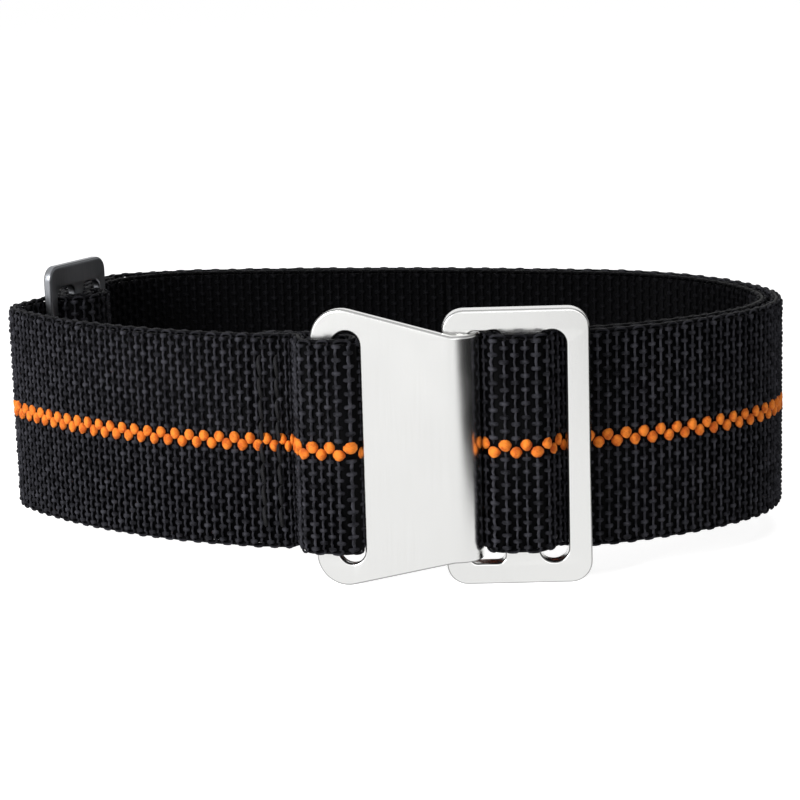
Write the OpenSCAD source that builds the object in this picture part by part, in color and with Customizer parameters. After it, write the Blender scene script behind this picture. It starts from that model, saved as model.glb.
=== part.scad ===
// Elastic nylon watch strap, buckled into its wearing loop and standing on
// its edge. The origin is on the table under the receiver frame's centre bar.
// +X runs right along the front of the loop, +Y goes towards the back of the
// loop and +Z is up. Every run of webbing is a chain of true arcs and straights.

/* [Webbing] */

// width of the elastic webbing (strap size)
band_w = 20; // [18:1:22]
// thickness of one layer of webbing
band_t = 1.3; // [1.1:0.05:1.4]
// bevel of the four long edges of the webbing
band_edge = 0.35; // [0.2:0.05:0.45]
// width of the coloured tracer yarns along the middle of each face
tracer_w = 1.7; // [1.2:0.1:2.4]
// depth the tracer yarns are laid into the face
tracer_deep = 0.25; // [0.15:0.05:0.3]
// gap between two layers of webbing that lie on each other
layer_gap = 0.08; // [0.06:0.01:0.1]
// gap between the webbing and a metal bar that it wraps
wrap_gap = 0.12; // [0.1:0.01:0.14]

/* [Loop shape] */

// turn of the short bend just right of the frame
near_turn = 13.6; // [12:0.2:15]
// radius of the right front curve, inner layer
right_front_r = 30.8; // [29:0.2:33]
// turn of the right front curve
right_front_turn = 30.7; // [29:0.1:32]
// radius of the right side curve, inner layer
right_side_r = 12.3; // [11.5:0.1:13]
// turn of the right side curve
right_side_turn = 58.9; // [57:0.1:61]
// radius of the right back curve, inner layer
right_back_r = 21.4; // [20:0.2:23]
// turn of the right back curve
right_back_turn = 58.2; // [57:0.1:60]
// turn of the long, flat curve of the back
back_turn = 16; // [14:0.5:18]
// radius of the left back curve, inner layer
left_back_r = 10; // [9.5:0.1:10.8]
// turn of the left back curve
left_back_turn = 67; // [65:0.5:69]
// turn of the tight bend at the left end
left_turn = 60; // [58:0.5:62]
// radius of the long front run that ends at the hook
front_r = 45.5; // [43:0.5:48]

/* [Metal] */

// height of the frame, which stands on the table
metal_h = 24.9; // [24.2:0.1:25.6]
// how much higher than the frame the hook plate is
hook_over = 0.3; // [0:0.1:0.6]
// how much higher than the frame the slider is
slider_over = 0.8; // [0:0.1:1]
// height left free in every slot, above and below the webbing together
slot_play = 1.1; // [1:0.1:1.3]

/* [Receiver frame] */

// thickness of the frame
frame_t = 1.8; // [1.6:0.1:2]
// width of each of the two side bars
frame_side_bar = 2.1; // [1.8:0.1:2.3]
// width of the centre bar, which carries the folded webbing
frame_centre_bar = 3.1; // [2.8:0.1:3.4]
// width of the left slot, which takes the hook and the fold
frame_hook_slot = 3.15; // [3.1:0.05:3.5]
// width of the right slot, which takes the fold only
frame_fold_slot = 2.6; // [2.5:0.1:3]
// radius of the frame's outer corners
frame_corner_r = 1.9; // [1.4:0.1:2.4]
// bevel on all edges of the frame
frame_edge = 0.45; // [0.4:0.05:0.5]

/* [Hook plate] */

// thickness of the sheet that the hook is bent from
hook_t = 1.0; // [0.9:0.05:1.05]
// inner radius of the bend that goes round the frame's left bar
hook_bend_r = 1.5; // [1.45:0.05:1.55]
// length of the flat plate, from the bend to its far edge
hook_flat = 12.4; // [12:0.1:13]
// width of the bar that carries the hem
hook_bar = 2.1; // [1.8:0.1:2.4]
// width of the slot that the hem passes through
hook_slot = 2.4; // [2.2:0.1:2.8]
// height of the bend and the lip
hook_neck_h = 20.5; // [19:0.1:20.6]
// radius of the plate's outer corners
hook_corner_r = 2.8; // [2.3:0.1:3.2]
// straight length of the lip behind the frame's bar
hook_lip = 0.9; // [0.6:0.1:1.1]
// angle of the plate to the frame when the strap is closed
hook_rest = 13; // [12:0.5:14]

/* [Slider] */

// thickness of the slider
slider_t = 0.9; // [0.8:0.05:1]
// width of each of the two side bars
slider_side_bar = 1.2; // [1:0.1:1.4]
// width of the centre bar, which the end of the webbing is sewn round
slider_centre_bar = 1.5; // [1.4:0.1:1.7]
// width of the two slots
slider_slot = 3.0; // [3:0.05:3.3]
// travel of the slider each way in the modelled straight
slider_travel = 2.2; // [1:0.1:2.4]

/* [Stitching] */

// thickness of the sewing thread
thread_d = 0.32; // [0.24:0.02:0.36]
// stitches in one upright row
stitches = 8; // [6:1:10]
// distance between the two upright rows
stitch_rows = 1.6; // [1.2:0.1:1.7]
// height left without stitches, above and below the rows together
stitch_free = 4; // [3:0.2:6]

/* [Hidden] */
$fa = 6;
$fs = 0.25;

steel = "silver";
gunmetal = "dimgray";
nylon = "#1e1e22";
orange = "#ea8a34";

// A place on the table is [x, y, heading]. A run is a list of elements:
// [0, length] is a straight, [radius, turn] is an arc, both signed, + to the left.
function bend_to(p, r, a) = [p.x + r * (sin(p.z + a) - sin(p.z)), p.y + r * (cos(p.z) - cos(p.z + a)), p.z + a];
function step(p, e) = e[0] == 0 ? [p.x + e[1] * cos(p.z), p.y + e[1] * sin(p.z), p.z] : bend_to(p, e[0], e[1]);
function walk(p, run, i = 0) = i < len(run) ? walk(step(p, run[i]), run, i + 1) : p;
function beside(p, out) = [p.x + out * sin(p.z), p.y - out * cos(p.z), p.z];
function widen(run, out) = [for (e = run) e[0] == 0 ? e : [e[0] + out, e[1]]];
function place(p, q) = [p.x + q.x * cos(p.z) - q.y * sin(p.z), p.y + q.x * sin(p.z) + q.y * cos(p.z), p.z + q.z];
// Two unknown radii u and v that bring u * a + v * b to t.
function two_radii(a, b, t) = [(t.x * b.y - t.y * b.x) / (a.x * b.y - a.y * b.x),
    (a.x * t.y - a.y * t.x) / (a.x * b.y - a.y * b.x)];
// An S-bend over dx and dy whose two radii add up to rr: its straight and its turn.
function s_flat(dx, dy, rr) = sqrt(dx * dx + (rr - dy) * (rr - dy) - rr * rr);
function s_turn(dx, dy, rr) = atan2(dx, rr - dy) - atan2(s_flat(dx, dy, rr), rr);

pitch = band_t + layer_gap;
half_t = band_t / 2;
band_edge_in = 0.6 * band_edge;
arc_step = 9;
curve_step = 6;
sag = 0.015;
band_rise = 0.15;
band_mid = metal_h / 2 + band_rise;
z_low = band_mid - band_w / 2;
z_high = band_mid + band_w / 2;

// Receiver frame, seen from above, its centre bar on the origin.
slot_h = band_w + slot_play;
frame_x0 = -frame_centre_bar / 2 - frame_hook_slot - frame_side_bar;
frame_x1 = frame_centre_bar / 2 + frame_fold_slot + frame_side_bar;
hook_slot_r = 0.7;
fold_r = frame_edge + wrap_gap + half_t;
y_outer = frame_t / 2 + wrap_gap + half_t;
y_inner = y_outer + pitch;
fold_x0 = frame_centre_bar / 2 - frame_edge;
fold_x1 = frame_centre_bar / 2 + frame_fold_slot + frame_edge;
fold_end = 0.2;
fold_loose = 0.3;

// Hook plate in its own place: the bend's centre is the origin, the plate runs to -x.
hook_shift = 0.15;
hook_h = metal_h + hook_over;
hook_at = [frame_x0 + frame_side_bar / 2 - hook_shift, 0, -hook_rest];
hook_mid = -hook_bend_r - hook_t / 2;
hook_edge = 0.25;
lip_corner_r = 1.1;
hem_corner = 0.3;
hem_r = hem_corner + wrap_gap + half_t;
hem_loose = 0.8;
hem_crest = hook_mid - hook_t / 2 - wrap_gap - half_t;
hem_back = hook_mid + hook_t / 2 + wrap_gap + half_t;
hem_bar_x = -hook_flat + hook_bar;
hem_turn_x = hem_bar_x - hem_corner + hem_loose;
hem_reach = 2.8;
seam = [-hook_flat - hem_reach, 0, 0];
seam_run = 3.4;
ramp_past = 0.3;
ramp_x = -hook_flat + ramp_past;
ramp_r = 1.35;
ramp_dx = ramp_x - seam.x;
ramp_a = s_turn(ramp_dx, -hem_crest, 2 * ramp_r);
return_r = 2.6;
return_dx = hem_turn_x - seam.x;
return_a = s_turn(return_dx, pitch - hem_back, 2 * return_r);
tail_back = 2.8;

// Slider in its own place: the pass's straight line is the x axis.
slider_w = 2 * (slider_side_bar + slider_slot) + slider_centre_bar;
slider_mid = slider_t / 2 + wrap_gap + half_t;
slider_h = metal_h + slider_over;
slider_corner = 0.3;
pass_spare = 0.5;
pass_half = slider_w / 2 + slider_travel + pass_spare;
wrap_r = slider_corner + wrap_gap + half_t;
over_r = wrap_r + pitch;
bar_x = slider_centre_bar / 2 - slider_corner;
side_x = slider_centre_bar / 2 + slider_slot + slider_corner;
pass_deep = 2 * slider_mid + pitch;
pass_flat = s_flat(side_x - bar_x, pass_deep, wrap_r + over_r);
pass_turn = s_turn(side_x - bar_x, pass_deep, wrap_r + over_r);
cover_r = over_r + pitch;
dive_r = 0.8;
slider_edge = 0.2;
slider_corner_r = 1.4;
slider_slot_r = 0.8;
stitch_past = 0.6;
stitch_sunk = 0.7;
dive_turn = acos((cover_r - 2 * pitch + dive_r) / (cover_r + dive_r));
dive_x = -side_x + (cover_r + dive_r) * sin(dive_turn);

// The loop, inner layer, anticlockwise from behind the frame's right bar.
near_r = 5;
loop_start = [fold_x1 + fold_end, y_inner, 0];
loop_end = place(hook_at, seam);
front_turn = 360 - hook_rest - near_turn - right_front_turn - right_side_turn - right_back_turn
    - back_turn - left_back_turn - left_turn;
function loop_run(back_r, left_r) = [[near_r, near_turn], [right_front_r, right_front_turn],
    [right_side_r, right_side_turn], [right_back_r, right_back_turn], [back_r, back_turn],
    [left_back_r, left_back_turn], [0, 2 * pass_half], [left_r, left_turn], [front_r, front_turn]];
nearly_0 = 0.000001;
back_h = near_turn + right_front_turn + right_side_turn + right_back_turn;
left_h = back_h + back_turn + left_back_turn;
loop_rest = walk(loop_start, loop_run(nearly_0, nearly_0));
closing = two_radii(bend_to([0, 0, back_h], 1, back_turn), bend_to([0, 0, left_h], 1, left_turn), loop_end - loop_rest);
back_r = closing.x;
left_r = closing.y;
whole = loop_run(back_r, left_r);

front_part = 0.42;
right_run = [whole[0], whole[1], whole[2]];
back_run = [whole[3], whole[4], whole[5]];
left_run = [whole[7], [front_r, front_turn * (1 - front_part)]];
seam_turn = seam_run / front_r * 180 / PI;
front_run = [[front_r, front_turn * front_part - seam_turn]];
back_start = walk(loop_start, right_run);
pass_start = walk(back_start, back_run);
left_start = walk(pass_start, [[0, 2 * pass_half]]);
front_start = walk(left_start, left_run);
hem_start = walk(front_start, front_run);
slider_at = walk(pass_start, [[0, pass_half]]);

// The fold round the frame's centre bar, from the inner to the outer layer.
fold_flat = s_flat(fold_x1 - fold_x0, 2 * y_outer, 2 * fold_r);
fold_turn = s_turn(fold_x1 - fold_x0, 2 * y_outer, 2 * fold_r);
fold_start = [loop_start.x, y_inner, 180];
fold_run = [[0, loop_start.x + fold_x0 + fold_loose], [fold_r, 90], [0, y_inner + y_outer - 2 * fold_r],
    [fold_r, 90], [0, 2 * fold_x0 + fold_loose], [fold_r, fold_turn], [0, fold_flat], [-fold_r, -fold_turn], [0, fold_end]];

// The hem round the hook's bar, from the run to the sewn tail.
hem_run = [[front_r, seam_turn], [-ramp_r, -ramp_a], [0, s_flat(ramp_dx, -hem_crest, 2 * ramp_r)],
    [ramp_r, ramp_a], [0, hem_turn_x - ramp_x], [hem_r, 90],
    [0, hook_t - 2 * hem_corner], [hem_r, 90], [-return_r, -return_a],
    [0, s_flat(return_dx, pitch - hem_back, 2 * return_r)], [return_r, return_a],
    [-(front_r - pitch), -tail_back / front_r * 180 / PI]];

// The pass through the slider, and the hem round the slider's centre bar.
pass_run = [[0, pass_half - side_x], [wrap_r, pass_turn], [0, pass_flat], [-over_r, -pass_turn], [0, 2 * bar_x],
    [-over_r, -pass_turn], [0, pass_flat], [wrap_r, pass_turn], [0, pass_half - side_x]];
climb_turn = 32;
climb_tilt = 8;
cover_turn = 18;
tail_turn = 15;
climb_at = [0, -(left_back_r + pitch), 0];
climb_end = [(left_back_r + 2 * pitch) * sin(climb_turn), -(left_back_r + 2 * pitch) * cos(climb_turn), climb_turn];
climb = two_radii(bend_to([0, 0, 0], 1, -climb_tilt), bend_to([0, 0, -climb_tilt], 1, climb_turn + climb_tilt),
    climb_end - climb_at);
back_outer_run = widen([whole[3], whole[4], [left_back_r, left_back_turn - climb_turn - cover_turn]], pitch);
slider_hem_start = walk(beside(back_start, pitch), back_outer_run);
slider_hem_run = [[climb.x, -climb_tilt], [climb.y, climb_turn + climb_tilt], [left_back_r + 2 * pitch, cover_turn],
    [0, pass_half - side_x], [cover_r, dive_turn], [-dive_r, -dive_turn], [0, bar_x - dive_x], [wrap_r, 90],
    [0, slider_t - 2 * slider_corner], [wrap_r, 90], [0, 2 * bar_x], [wrap_r, pass_turn], [0, pass_flat], [-over_r, -pass_turn], [0, pass_half - side_x],
    [-(left_back_r + pitch), -tail_turn]];

// The places along a run: the corners of the arcs' chords, never off the arc by more than sag.
function starts(p, run, i = 0) = i < len(run) ? concat([p], starts(step(p, run[i]), run, i + 1)) : [p];
function chords(e) = e[0] == 0 ? 1 : ceil(abs(e[1]) / min(arc_step, 2 * acos(1 - sag / abs(e[0]))));
function part_of(e, share) = [e[0], e[1] * share];
function trace(p, run) = let (q = starts(p, run)) concat([p],
    [for (i = [0 : len(run) - 1]) let (n = chords(run[i])) for (k = [1 : n]) step(q[i], part_of(run[i], k / n))]);
function turned(list) = [for (i = [len(list) - 1 : -1 : 0]) list[i]];
function left_of(p, u) = [p.x - u * sin(p.z), p.y + u * cos(p.z)];

// A strip along a run, seen from above, between u0 and u1 to the left of the run's line.
module strip(p, run, u0, u1) {
    line = trace(p, run);
    polygon(concat([for (q = line) left_of(q, u0)], turned([for (q = line) left_of(q, u1)])));
}

module layer(z0, z1) {
    translate([0, 0, z0])
        linear_extrude(z1 - z0) children();
}

// One run of webbing, with a groove for the tracer in its left and right face.
module webbing(p, run, left, right) {
    low = band_mid - tracer_w / 2;
    high = band_mid + tracer_w / 2;
    in = band_edge_in;
    u0 = right ? -half_t + tracer_deep : -half_t;
    u1 = left ? half_t - tracer_deep : half_t;
    color(nylon) {
        layer(z_low, z_low + band_edge) strip(p, run, -half_t + in, half_t - in);
        layer(z_low + band_edge, low) strip(p, run, -half_t, half_t);
        layer(low, high) strip(p, run, u0, u1);
        layer(high, z_high - band_edge) strip(p, run, -half_t, half_t);
        layer(z_high - band_edge, z_high) strip(p, run, -half_t + in, half_t - in);
    }
}

module tracer(p, run, left) {
    color(orange)
        layer(band_mid - tracer_w / 2, band_mid + tracer_w / 2)
            strip(p, run, left ? half_t - tracer_deep : -half_t, left ? half_t : -half_t + tracer_deep);
}

// Flat plate standing in the XZ plane, bevelled round its whole outline.
module plate(w, h, r, t, edge) {
    linear_extrude(h - 2 * r, center = true)
        bevelled(w, t, edge);
    rotate([0, 90, 0])
        linear_extrude(w - 2 * r, center = true)
            bevelled(h, t, edge);
    for (x = [-1, 1], z = [-1, 1])
        translate([x * (w / 2 - r), 0, z * (h / 2 - r)])
            rotate([90, 0, 0])
                rotate_extrude()
                    intersection() {
                        bevelled(2 * r, t, edge);
                        translate([0, -t]) square([2 * r, 2 * t]);
                    }
}

module bevelled(w, t, edge) {
    x = w / 2;
    y = t / 2;
    polygon([[-x + edge, -y], [x - edge, -y], [x, -y + edge], [x, y - edge],
        [x - edge, y], [-x + edge, y], [-x, y - edge], [-x, -y + edge]]);
}

// Cutter for a slot in such a plate, flared so that its rims are bevelled too.
module slot(w, h, r, t, edge) {
    linear_extrude(h - 2 * r, center = true)
        flared(w, t, edge);
    if (w > 2 * r)
        rotate([0, 90, 0])
            linear_extrude(w - 2 * r, center = true)
                flared(h, t, edge);
    for (x = w > 2 * r ? [-1, 1] : [0], z = [-1, 1])
        translate([x * (w / 2 - r), 0, z * (h / 2 - r)])
            rotate([90, 0, 0])
                rotate_extrude()
                    intersection() {
                        flared(2 * r, t, edge);
                        translate([0, -t]) square([2 * r + t, 2 * t]);
                    }
}

module flared(w, t, edge) {
    x = w / 2;
    y = t / 2;
    far = y + edge;
    polygon([[-x, -y + edge], [-x - 2 * edge, -far], [x + 2 * edge, -far], [x, -y + edge],
        [x, y - edge], [x + 2 * edge, far], [-x - 2 * edge, far], [-x, y - edge]]);
}

module receiver_frame() {
    hook_x = -frame_centre_bar / 2 - frame_hook_slot / 2;
    fold_x = frame_centre_bar / 2 + frame_fold_slot / 2;
    color(steel)
        translate([0, 0, metal_h / 2])
            difference() {
                translate([(frame_x0 + frame_x1) / 2, 0, 0])
                    plate(frame_x1 - frame_x0, metal_h, frame_corner_r, frame_t, frame_edge);
                translate([hook_x, 0, 0])
                    slot(frame_hook_slot, slot_h, hook_slot_r, frame_t, frame_edge);
                translate([fold_x, 0, 0])
                    slot(frame_fold_slot, slot_h, frame_fold_slot / 2, frame_t, frame_edge);
            }
}

// Points on an arc round (x, y), from angle a0 to angle a1.
function arc(x, y, r, a0, a1) = let (n = ceil(abs(a1 - a0) / curve_step))
    [for (i = [0 : n]) let (a = a0 + (a1 - a0) * i / n) [x + r * cos(a), y + r * sin(a)]];

// The sheet of the hook seen from above: flat plate, bend round the bar, lip with a round tip.
module hook_profile() {
    outer = hook_bend_r + hook_t;
    polygon(concat(
        [[-hook_flat, -hook_bend_r - hook_edge], [-hook_flat, -outer + hook_edge], [-hook_flat + hook_edge, -outer]],
        arc(0, 0, outer, -90, 90),
        arc(-hook_lip, -hook_mid, hook_t / 2, 90, 270),
        arc(0, 0, hook_bend_r, 90, -90),
        [[-hook_flat + hook_edge, -hook_bend_r]]));
}

// The same sheet seen from the front: round far corners, then a taper to the neck.
module hook_outline() {
    half = hook_h / 2;
    neck = hook_neck_h / 2;
    x0 = -hook_flat + hook_corner_r;
    reach = 2 * hook_bend_r + hook_t;
    taper = atan2(half - neck, -x0);
    neck_x = x0 + (half - hook_corner_r + hook_corner_r / cos(taper) - neck) / tan(taper);
    z0 = half - hook_corner_r;
    polygon(concat(
        arc(x0, -z0, hook_corner_r, -180, taper - 90),
        [[neck_x, -neck], [reach, -neck], [reach, neck], [neck_x, neck]],
        arc(x0, z0, hook_corner_r, 90 - taper, 180)));
}

// The outline that rounds the corners of the lip.
module lip_outline() {
    neck = hook_neck_h / 2;
    x0 = -hook_lip - hook_t / 2;
    reach = 2 * hook_bend_r + hook_t;
    polygon(concat(
        arc(x0 + lip_corner_r, -neck + lip_corner_r, lip_corner_r, -180, -90),
        [[reach, -neck], [reach, neck]],
        arc(x0 + lip_corner_r, neck - lip_corner_r, lip_corner_r, 90, 180)));
}

module hook_plate() {
    deep = 2 * (hook_bend_r + hook_t);
    color(steel)
        translate([hook_at.x, hook_at.y, hook_h / 2])
            rotate(hook_at.z)
                difference() {
                    union() {
                        intersection() {
                            linear_extrude(hook_h, center = true) hook_profile();
                            rotate([90, 0, 0]) linear_extrude(deep) hook_outline();
                        }
                        intersection() {
                            linear_extrude(hook_h, center = true) hook_profile();
                            rotate([90, 0, 0]) translate([0, 0, -deep]) linear_extrude(deep) lip_outline();
                        }
                    }
                    translate([hem_bar_x + hook_slot / 2, hook_mid, 0])
                        slot(hook_slot, slot_h, hook_slot / 2, hook_t, hook_edge);
                }
}

module slider_buckle() {
    color(gunmetal)
        translate([slider_at.x, slider_at.y, slider_h / 2])
            rotate(slider_at.z)
                translate([0, slider_mid, 0])
                    difference() {
                        plate(slider_w, slider_h, slider_corner_r, slider_t, slider_edge);
                        for (x = [-1, 1])
                            translate([x * (slider_centre_bar + slider_slot) / 2, 0, 0])
                                slot(slider_slot, slot_h, slider_slot_r, slider_t, slider_edge);
                    }
}

// Two upright rows of running stitch joined at the top, through layers from y0 to y1.
module box_stitch(y0, y1) {
    step_z = (band_w - stitch_free) / stitches;
    top = stitches / 2 * step_z;
    for (x = [0, stitch_rows]) {
        for (i = [0 : stitches]) {
            z = i * step_z - top;
            translate([x, y0, z])
                rotate([-90, 0, 0]) cylinder(d = thread_d, h = y1 - y0);
            if (i < stitches)
                translate([x, i % 2 == 0 ? y0 : y1, z])
                    cylinder(d = thread_d, h = step_z);
            for (y = [y0, y1])
                translate([x, y, z])
                    sphere(d = thread_d);
        }
    }
    translate([0, y0, top])
        rotate([0, 90, 0]) cylinder(d = thread_d, h = stitch_rows);
}

module stitching_hook_hem() {
    from = walk(hem_start, [[front_r, seam_turn / 4]]);
    color(nylon)
        translate([from.x, from.y, band_mid])
            rotate(from.z)
                box_stitch(-half_t, pitch + half_t);
}

module stitching_slider_hem() {
    color(nylon)
        translate([slider_at.x, slider_at.y, band_mid])
            rotate(slider_at.z)
                translate([-slider_w / 2 - stitch_past - stitch_rows, 0, 0])
                    box_stitch(-2 * pitch - half_t, -pitch + half_t - stitch_sunk * thread_d);
}

module webbing_back_inner() { webbing(back_start, back_run, true, false); }
module webbing_back_outer() { webbing(beside(back_start, pitch), back_outer_run, false, true); }
module webbing_right_inner() { webbing(loop_start, right_run, true, false); }
module webbing_right_outer() { webbing(beside(loop_start, pitch), widen(right_run, pitch), false, true); }
module webbing_left_bend() { webbing(left_start, left_run, true, true); }
module webbing_front_run() { webbing(front_start, front_run, true, true); }
module webbing_hook_hem() { webbing(hem_start, hem_run, false, true); }
module webbing_frame_fold() { webbing(fold_start, fold_run, false, true); }
module webbing_slider_pass() { webbing(pass_start, pass_run, true, false); }
module webbing_slider_hem() { webbing(slider_hem_start, slider_hem_run, false, true); }

module tracer_back_inner() { tracer(back_start, back_run, true); }
module tracer_back_outer() { tracer(beside(back_start, pitch), back_outer_run, false); }
module tracer_right_inner() { tracer(loop_start, right_run, true); }
module tracer_right_outer() { tracer(beside(loop_start, pitch), widen(right_run, pitch), false); }
module tracer_left_bend_inner() { tracer(left_start, left_run, true); }
module tracer_left_bend_outer() { tracer(left_start, left_run, false); }
module tracer_front_run_inner() { tracer(front_start, front_run, true); }
module tracer_front_run_outer() { tracer(front_start, front_run, false); }
module tracer_hook_hem() { tracer(hem_start, hem_run, false); }
module tracer_frame_fold() { tracer(fold_start, fold_run, false); }
module tracer_slider_pass() { tracer(pass_start, pass_run, true); }
module tracer_slider_hem() { tracer(slider_hem_start, slider_hem_run, false); }

receiver_frame();
hook_plate();
slider_buckle();
stitching_hook_hem();
stitching_slider_hem();
webbing_back_inner();
webbing_back_outer();
webbing_right_inner();
webbing_right_outer();
webbing_left_bend();
webbing_front_run();
webbing_hook_hem();
webbing_frame_fold();
webbing_slider_pass();
webbing_slider_hem();
tracer_back_inner();
tracer_back_outer();
tracer_right_inner();
tracer_right_outer();
tracer_left_bend_inner();
tracer_left_bend_outer();
tracer_front_run_inner();
tracer_front_run_outer();
tracer_hook_hem();
tracer_frame_fold();
tracer_slider_pass();
tracer_slider_hem();
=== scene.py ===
"""Looks of an elastic nylon watch strap, buckled into its wearing loop.

One length of woven webbing runs from the hook plate round the loop, through
the slider, round the receiver frame and back to the slider. Each part of it is
woven from yarns here and bent along the same arcs as its solid. The three
metal pieces get their rolled edges, and the two hems get their thread.
Sizes in the classes are millimetres and degrees; meshes are in metres.
"""

import logging
import math
from dataclasses import dataclass, field
from enum import Enum
from typing import Callable, Optional, Sequence

import bmesh
import bpy
import numpy as np
from mathutils import Matrix, Vector
from mathutils.geometry import tessellate_polygon


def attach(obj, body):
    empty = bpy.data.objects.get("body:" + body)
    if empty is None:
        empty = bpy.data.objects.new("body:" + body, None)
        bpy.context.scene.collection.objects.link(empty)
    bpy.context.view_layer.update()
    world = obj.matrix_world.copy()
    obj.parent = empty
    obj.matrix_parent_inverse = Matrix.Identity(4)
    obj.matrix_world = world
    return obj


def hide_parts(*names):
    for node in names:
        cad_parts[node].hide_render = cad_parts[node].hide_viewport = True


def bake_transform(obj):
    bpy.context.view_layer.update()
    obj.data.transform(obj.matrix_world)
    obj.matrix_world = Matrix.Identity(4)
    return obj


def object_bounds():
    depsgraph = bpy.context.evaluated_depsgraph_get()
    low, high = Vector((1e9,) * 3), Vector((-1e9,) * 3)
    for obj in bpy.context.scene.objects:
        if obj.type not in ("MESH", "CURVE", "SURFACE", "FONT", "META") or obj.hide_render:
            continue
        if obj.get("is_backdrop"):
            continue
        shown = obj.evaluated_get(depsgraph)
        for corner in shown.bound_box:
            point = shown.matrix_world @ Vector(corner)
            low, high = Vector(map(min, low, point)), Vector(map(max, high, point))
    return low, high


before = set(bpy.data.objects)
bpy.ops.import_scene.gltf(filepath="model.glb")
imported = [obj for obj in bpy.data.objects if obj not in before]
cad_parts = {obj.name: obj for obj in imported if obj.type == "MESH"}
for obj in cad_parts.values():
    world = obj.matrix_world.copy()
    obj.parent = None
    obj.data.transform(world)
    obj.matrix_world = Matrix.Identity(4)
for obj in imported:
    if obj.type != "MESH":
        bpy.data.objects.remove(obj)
CAD_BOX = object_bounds()

LOG = logging.getLogger("watch_strap")
MM = 0.001
BAND_PER_UNIT = 0.314  # the wave texture's scale that gives one band per unit
ROUNDING = 1e-9  # millimetres of allowance where lengths are added up
SAME = 1e-6  # millimetres within which two corners are one
SAME_CUT = 1e-8  # metres within which a cut goes through a corner
NO_AREA = 1e-16  # square metres under which a triangle is left out
SAME_TONE = 0.005  # difference within which a point belongs to a yarn of that tone

Element = tuple[float, float]  # (0, length) for a straight, (radius, turn) for an arc
Points = list[tuple[float, float]]


# The route of the webbing


@dataclass(frozen=True)
class Place:
    """A place on the table in millimetres, with its heading in degrees."""

    x: float
    y: float
    heading: float

    def moved(self, element: Element) -> "Place":
        """The place at the end of one element.

        Args:
            element: (0, length) for a straight, (radius, turn) for an arc.

        Returns:
            The place and heading after it.
        """
        radius, amount = element
        a = math.radians(self.heading)
        if radius == 0:
            return Place(self.x + amount * math.cos(a), self.y + amount * math.sin(a), self.heading)
        b = math.radians(self.heading + amount)
        return Place(
            self.x + radius * (math.sin(b) - math.sin(a)),
            self.y + radius * (math.cos(a) - math.cos(b)),
            self.heading + amount,
        )

    def beside(self, out: float) -> "Place":
        """The place that lies out to the right of this one, same heading."""
        a = math.radians(self.heading)
        return Place(self.x + out * math.sin(a), self.y - out * math.cos(a), self.heading)

    def local(self, other: "Place") -> "Place":
        """A place that is given in this one's own axes, on the table."""
        a = math.radians(self.heading)
        return Place(
            self.x + other.x * math.cos(a) - other.y * math.sin(a),
            self.y + other.x * math.sin(a) + other.y * math.cos(a),
            self.heading + other.heading,
        )


@dataclass(frozen=True)
class Run:
    """A chain of straights and arcs that a strip of webbing follows."""

    start: Place
    elements: tuple[Element, ...]

    @property
    def length(self) -> float:
        """Length of the line."""
        return sum(element_length(e) for e in self.elements)

    @property
    def end(self) -> Place:
        """Place at the far end."""
        place = self.start
        for element in self.elements:
            place = place.moved(element)
        return place

    def before(self, index: int) -> float:
        """Length of the line up to the start of one of its elements."""
        return sum(element_length(e) for e in self.elements[:index])

    def then(self, elements: Sequence[Element]) -> "Run":
        """A new run that goes on from this one's end."""
        return Run(self.end, tuple(elements))

    def outside(self, out: float) -> "Run":
        """The run that lies out to the right of this one.

        Args:
            out: Distance between the two lines.

        Returns:
            The parallel run, with its arcs widened.
        """
        wider = tuple(e if e[0] == 0 else (e[0] + out, e[1]) for e in self.elements)
        return Run(self.start.beside(out), wider)

    def at(self, s: np.ndarray) -> tuple[np.ndarray, np.ndarray, np.ndarray]:
        """Places along the run.

        Args:
            s: Distances from the start. Past either end the line goes straight on.

        Returns:
            x, y and heading in radians, one each for every distance.
        """
        s = np.asarray(s, float)
        x, y, h = np.zeros_like(s), np.zeros_like(s), np.zeros_like(s)
        inside = np.clip(s, 0, self.length)
        place, done = self.start, 0.0
        for element in self.elements:
            radius, amount = element
            size = element_length(element)
            here = (inside >= done) & (inside <= done + size + ROUNDING)
            u = inside[here] - done
            a = math.radians(place.heading)
            if radius == 0:
                x[here] = place.x + u * math.cos(a)
                y[here] = place.y + u * math.sin(a)
                h[here] = a
            else:
                t = a + math.radians(amount) * u / size
                x[here] = place.x + radius * (np.sin(t) - math.sin(a))
                y[here] = place.y + radius * (math.cos(a) - np.cos(t))
                h[here] = t
            place = place.moved(element)
            done += size
        past = s - inside
        return x + past * np.cos(h), y + past * np.sin(h), h


def element_length(element: Element) -> float:
    """Length of one straight or arc."""
    radius, amount = element
    return abs(amount) if radius == 0 else abs(radius * math.radians(amount))


def s_bend(dx: float, dy: float, radii: float) -> tuple[float, float]:
    """The straight and the turn of an S-bend.

    Args:
        dx: Distance along.
        dy: Distance across.
        radii: Sum of its two radii.

    Returns:
        Length of the straight between its arcs, and each arc's turn.
    """
    flat = math.sqrt(dx * dx + (radii - dy) ** 2 - radii * radii)
    turn = math.degrees(math.atan2(dx, radii - dy) - math.atan2(flat, radii))
    return flat, turn


def two_radii(a: Place, b: Place, x: float, y: float) -> tuple[float, float]:
    """The radii u and v with which u * a + v * b comes to (x, y)."""
    d = a.x * b.y - a.y * b.x
    return (x * b.y - y * b.x) / d, (a.x * y - a.y * x) / d


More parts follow.
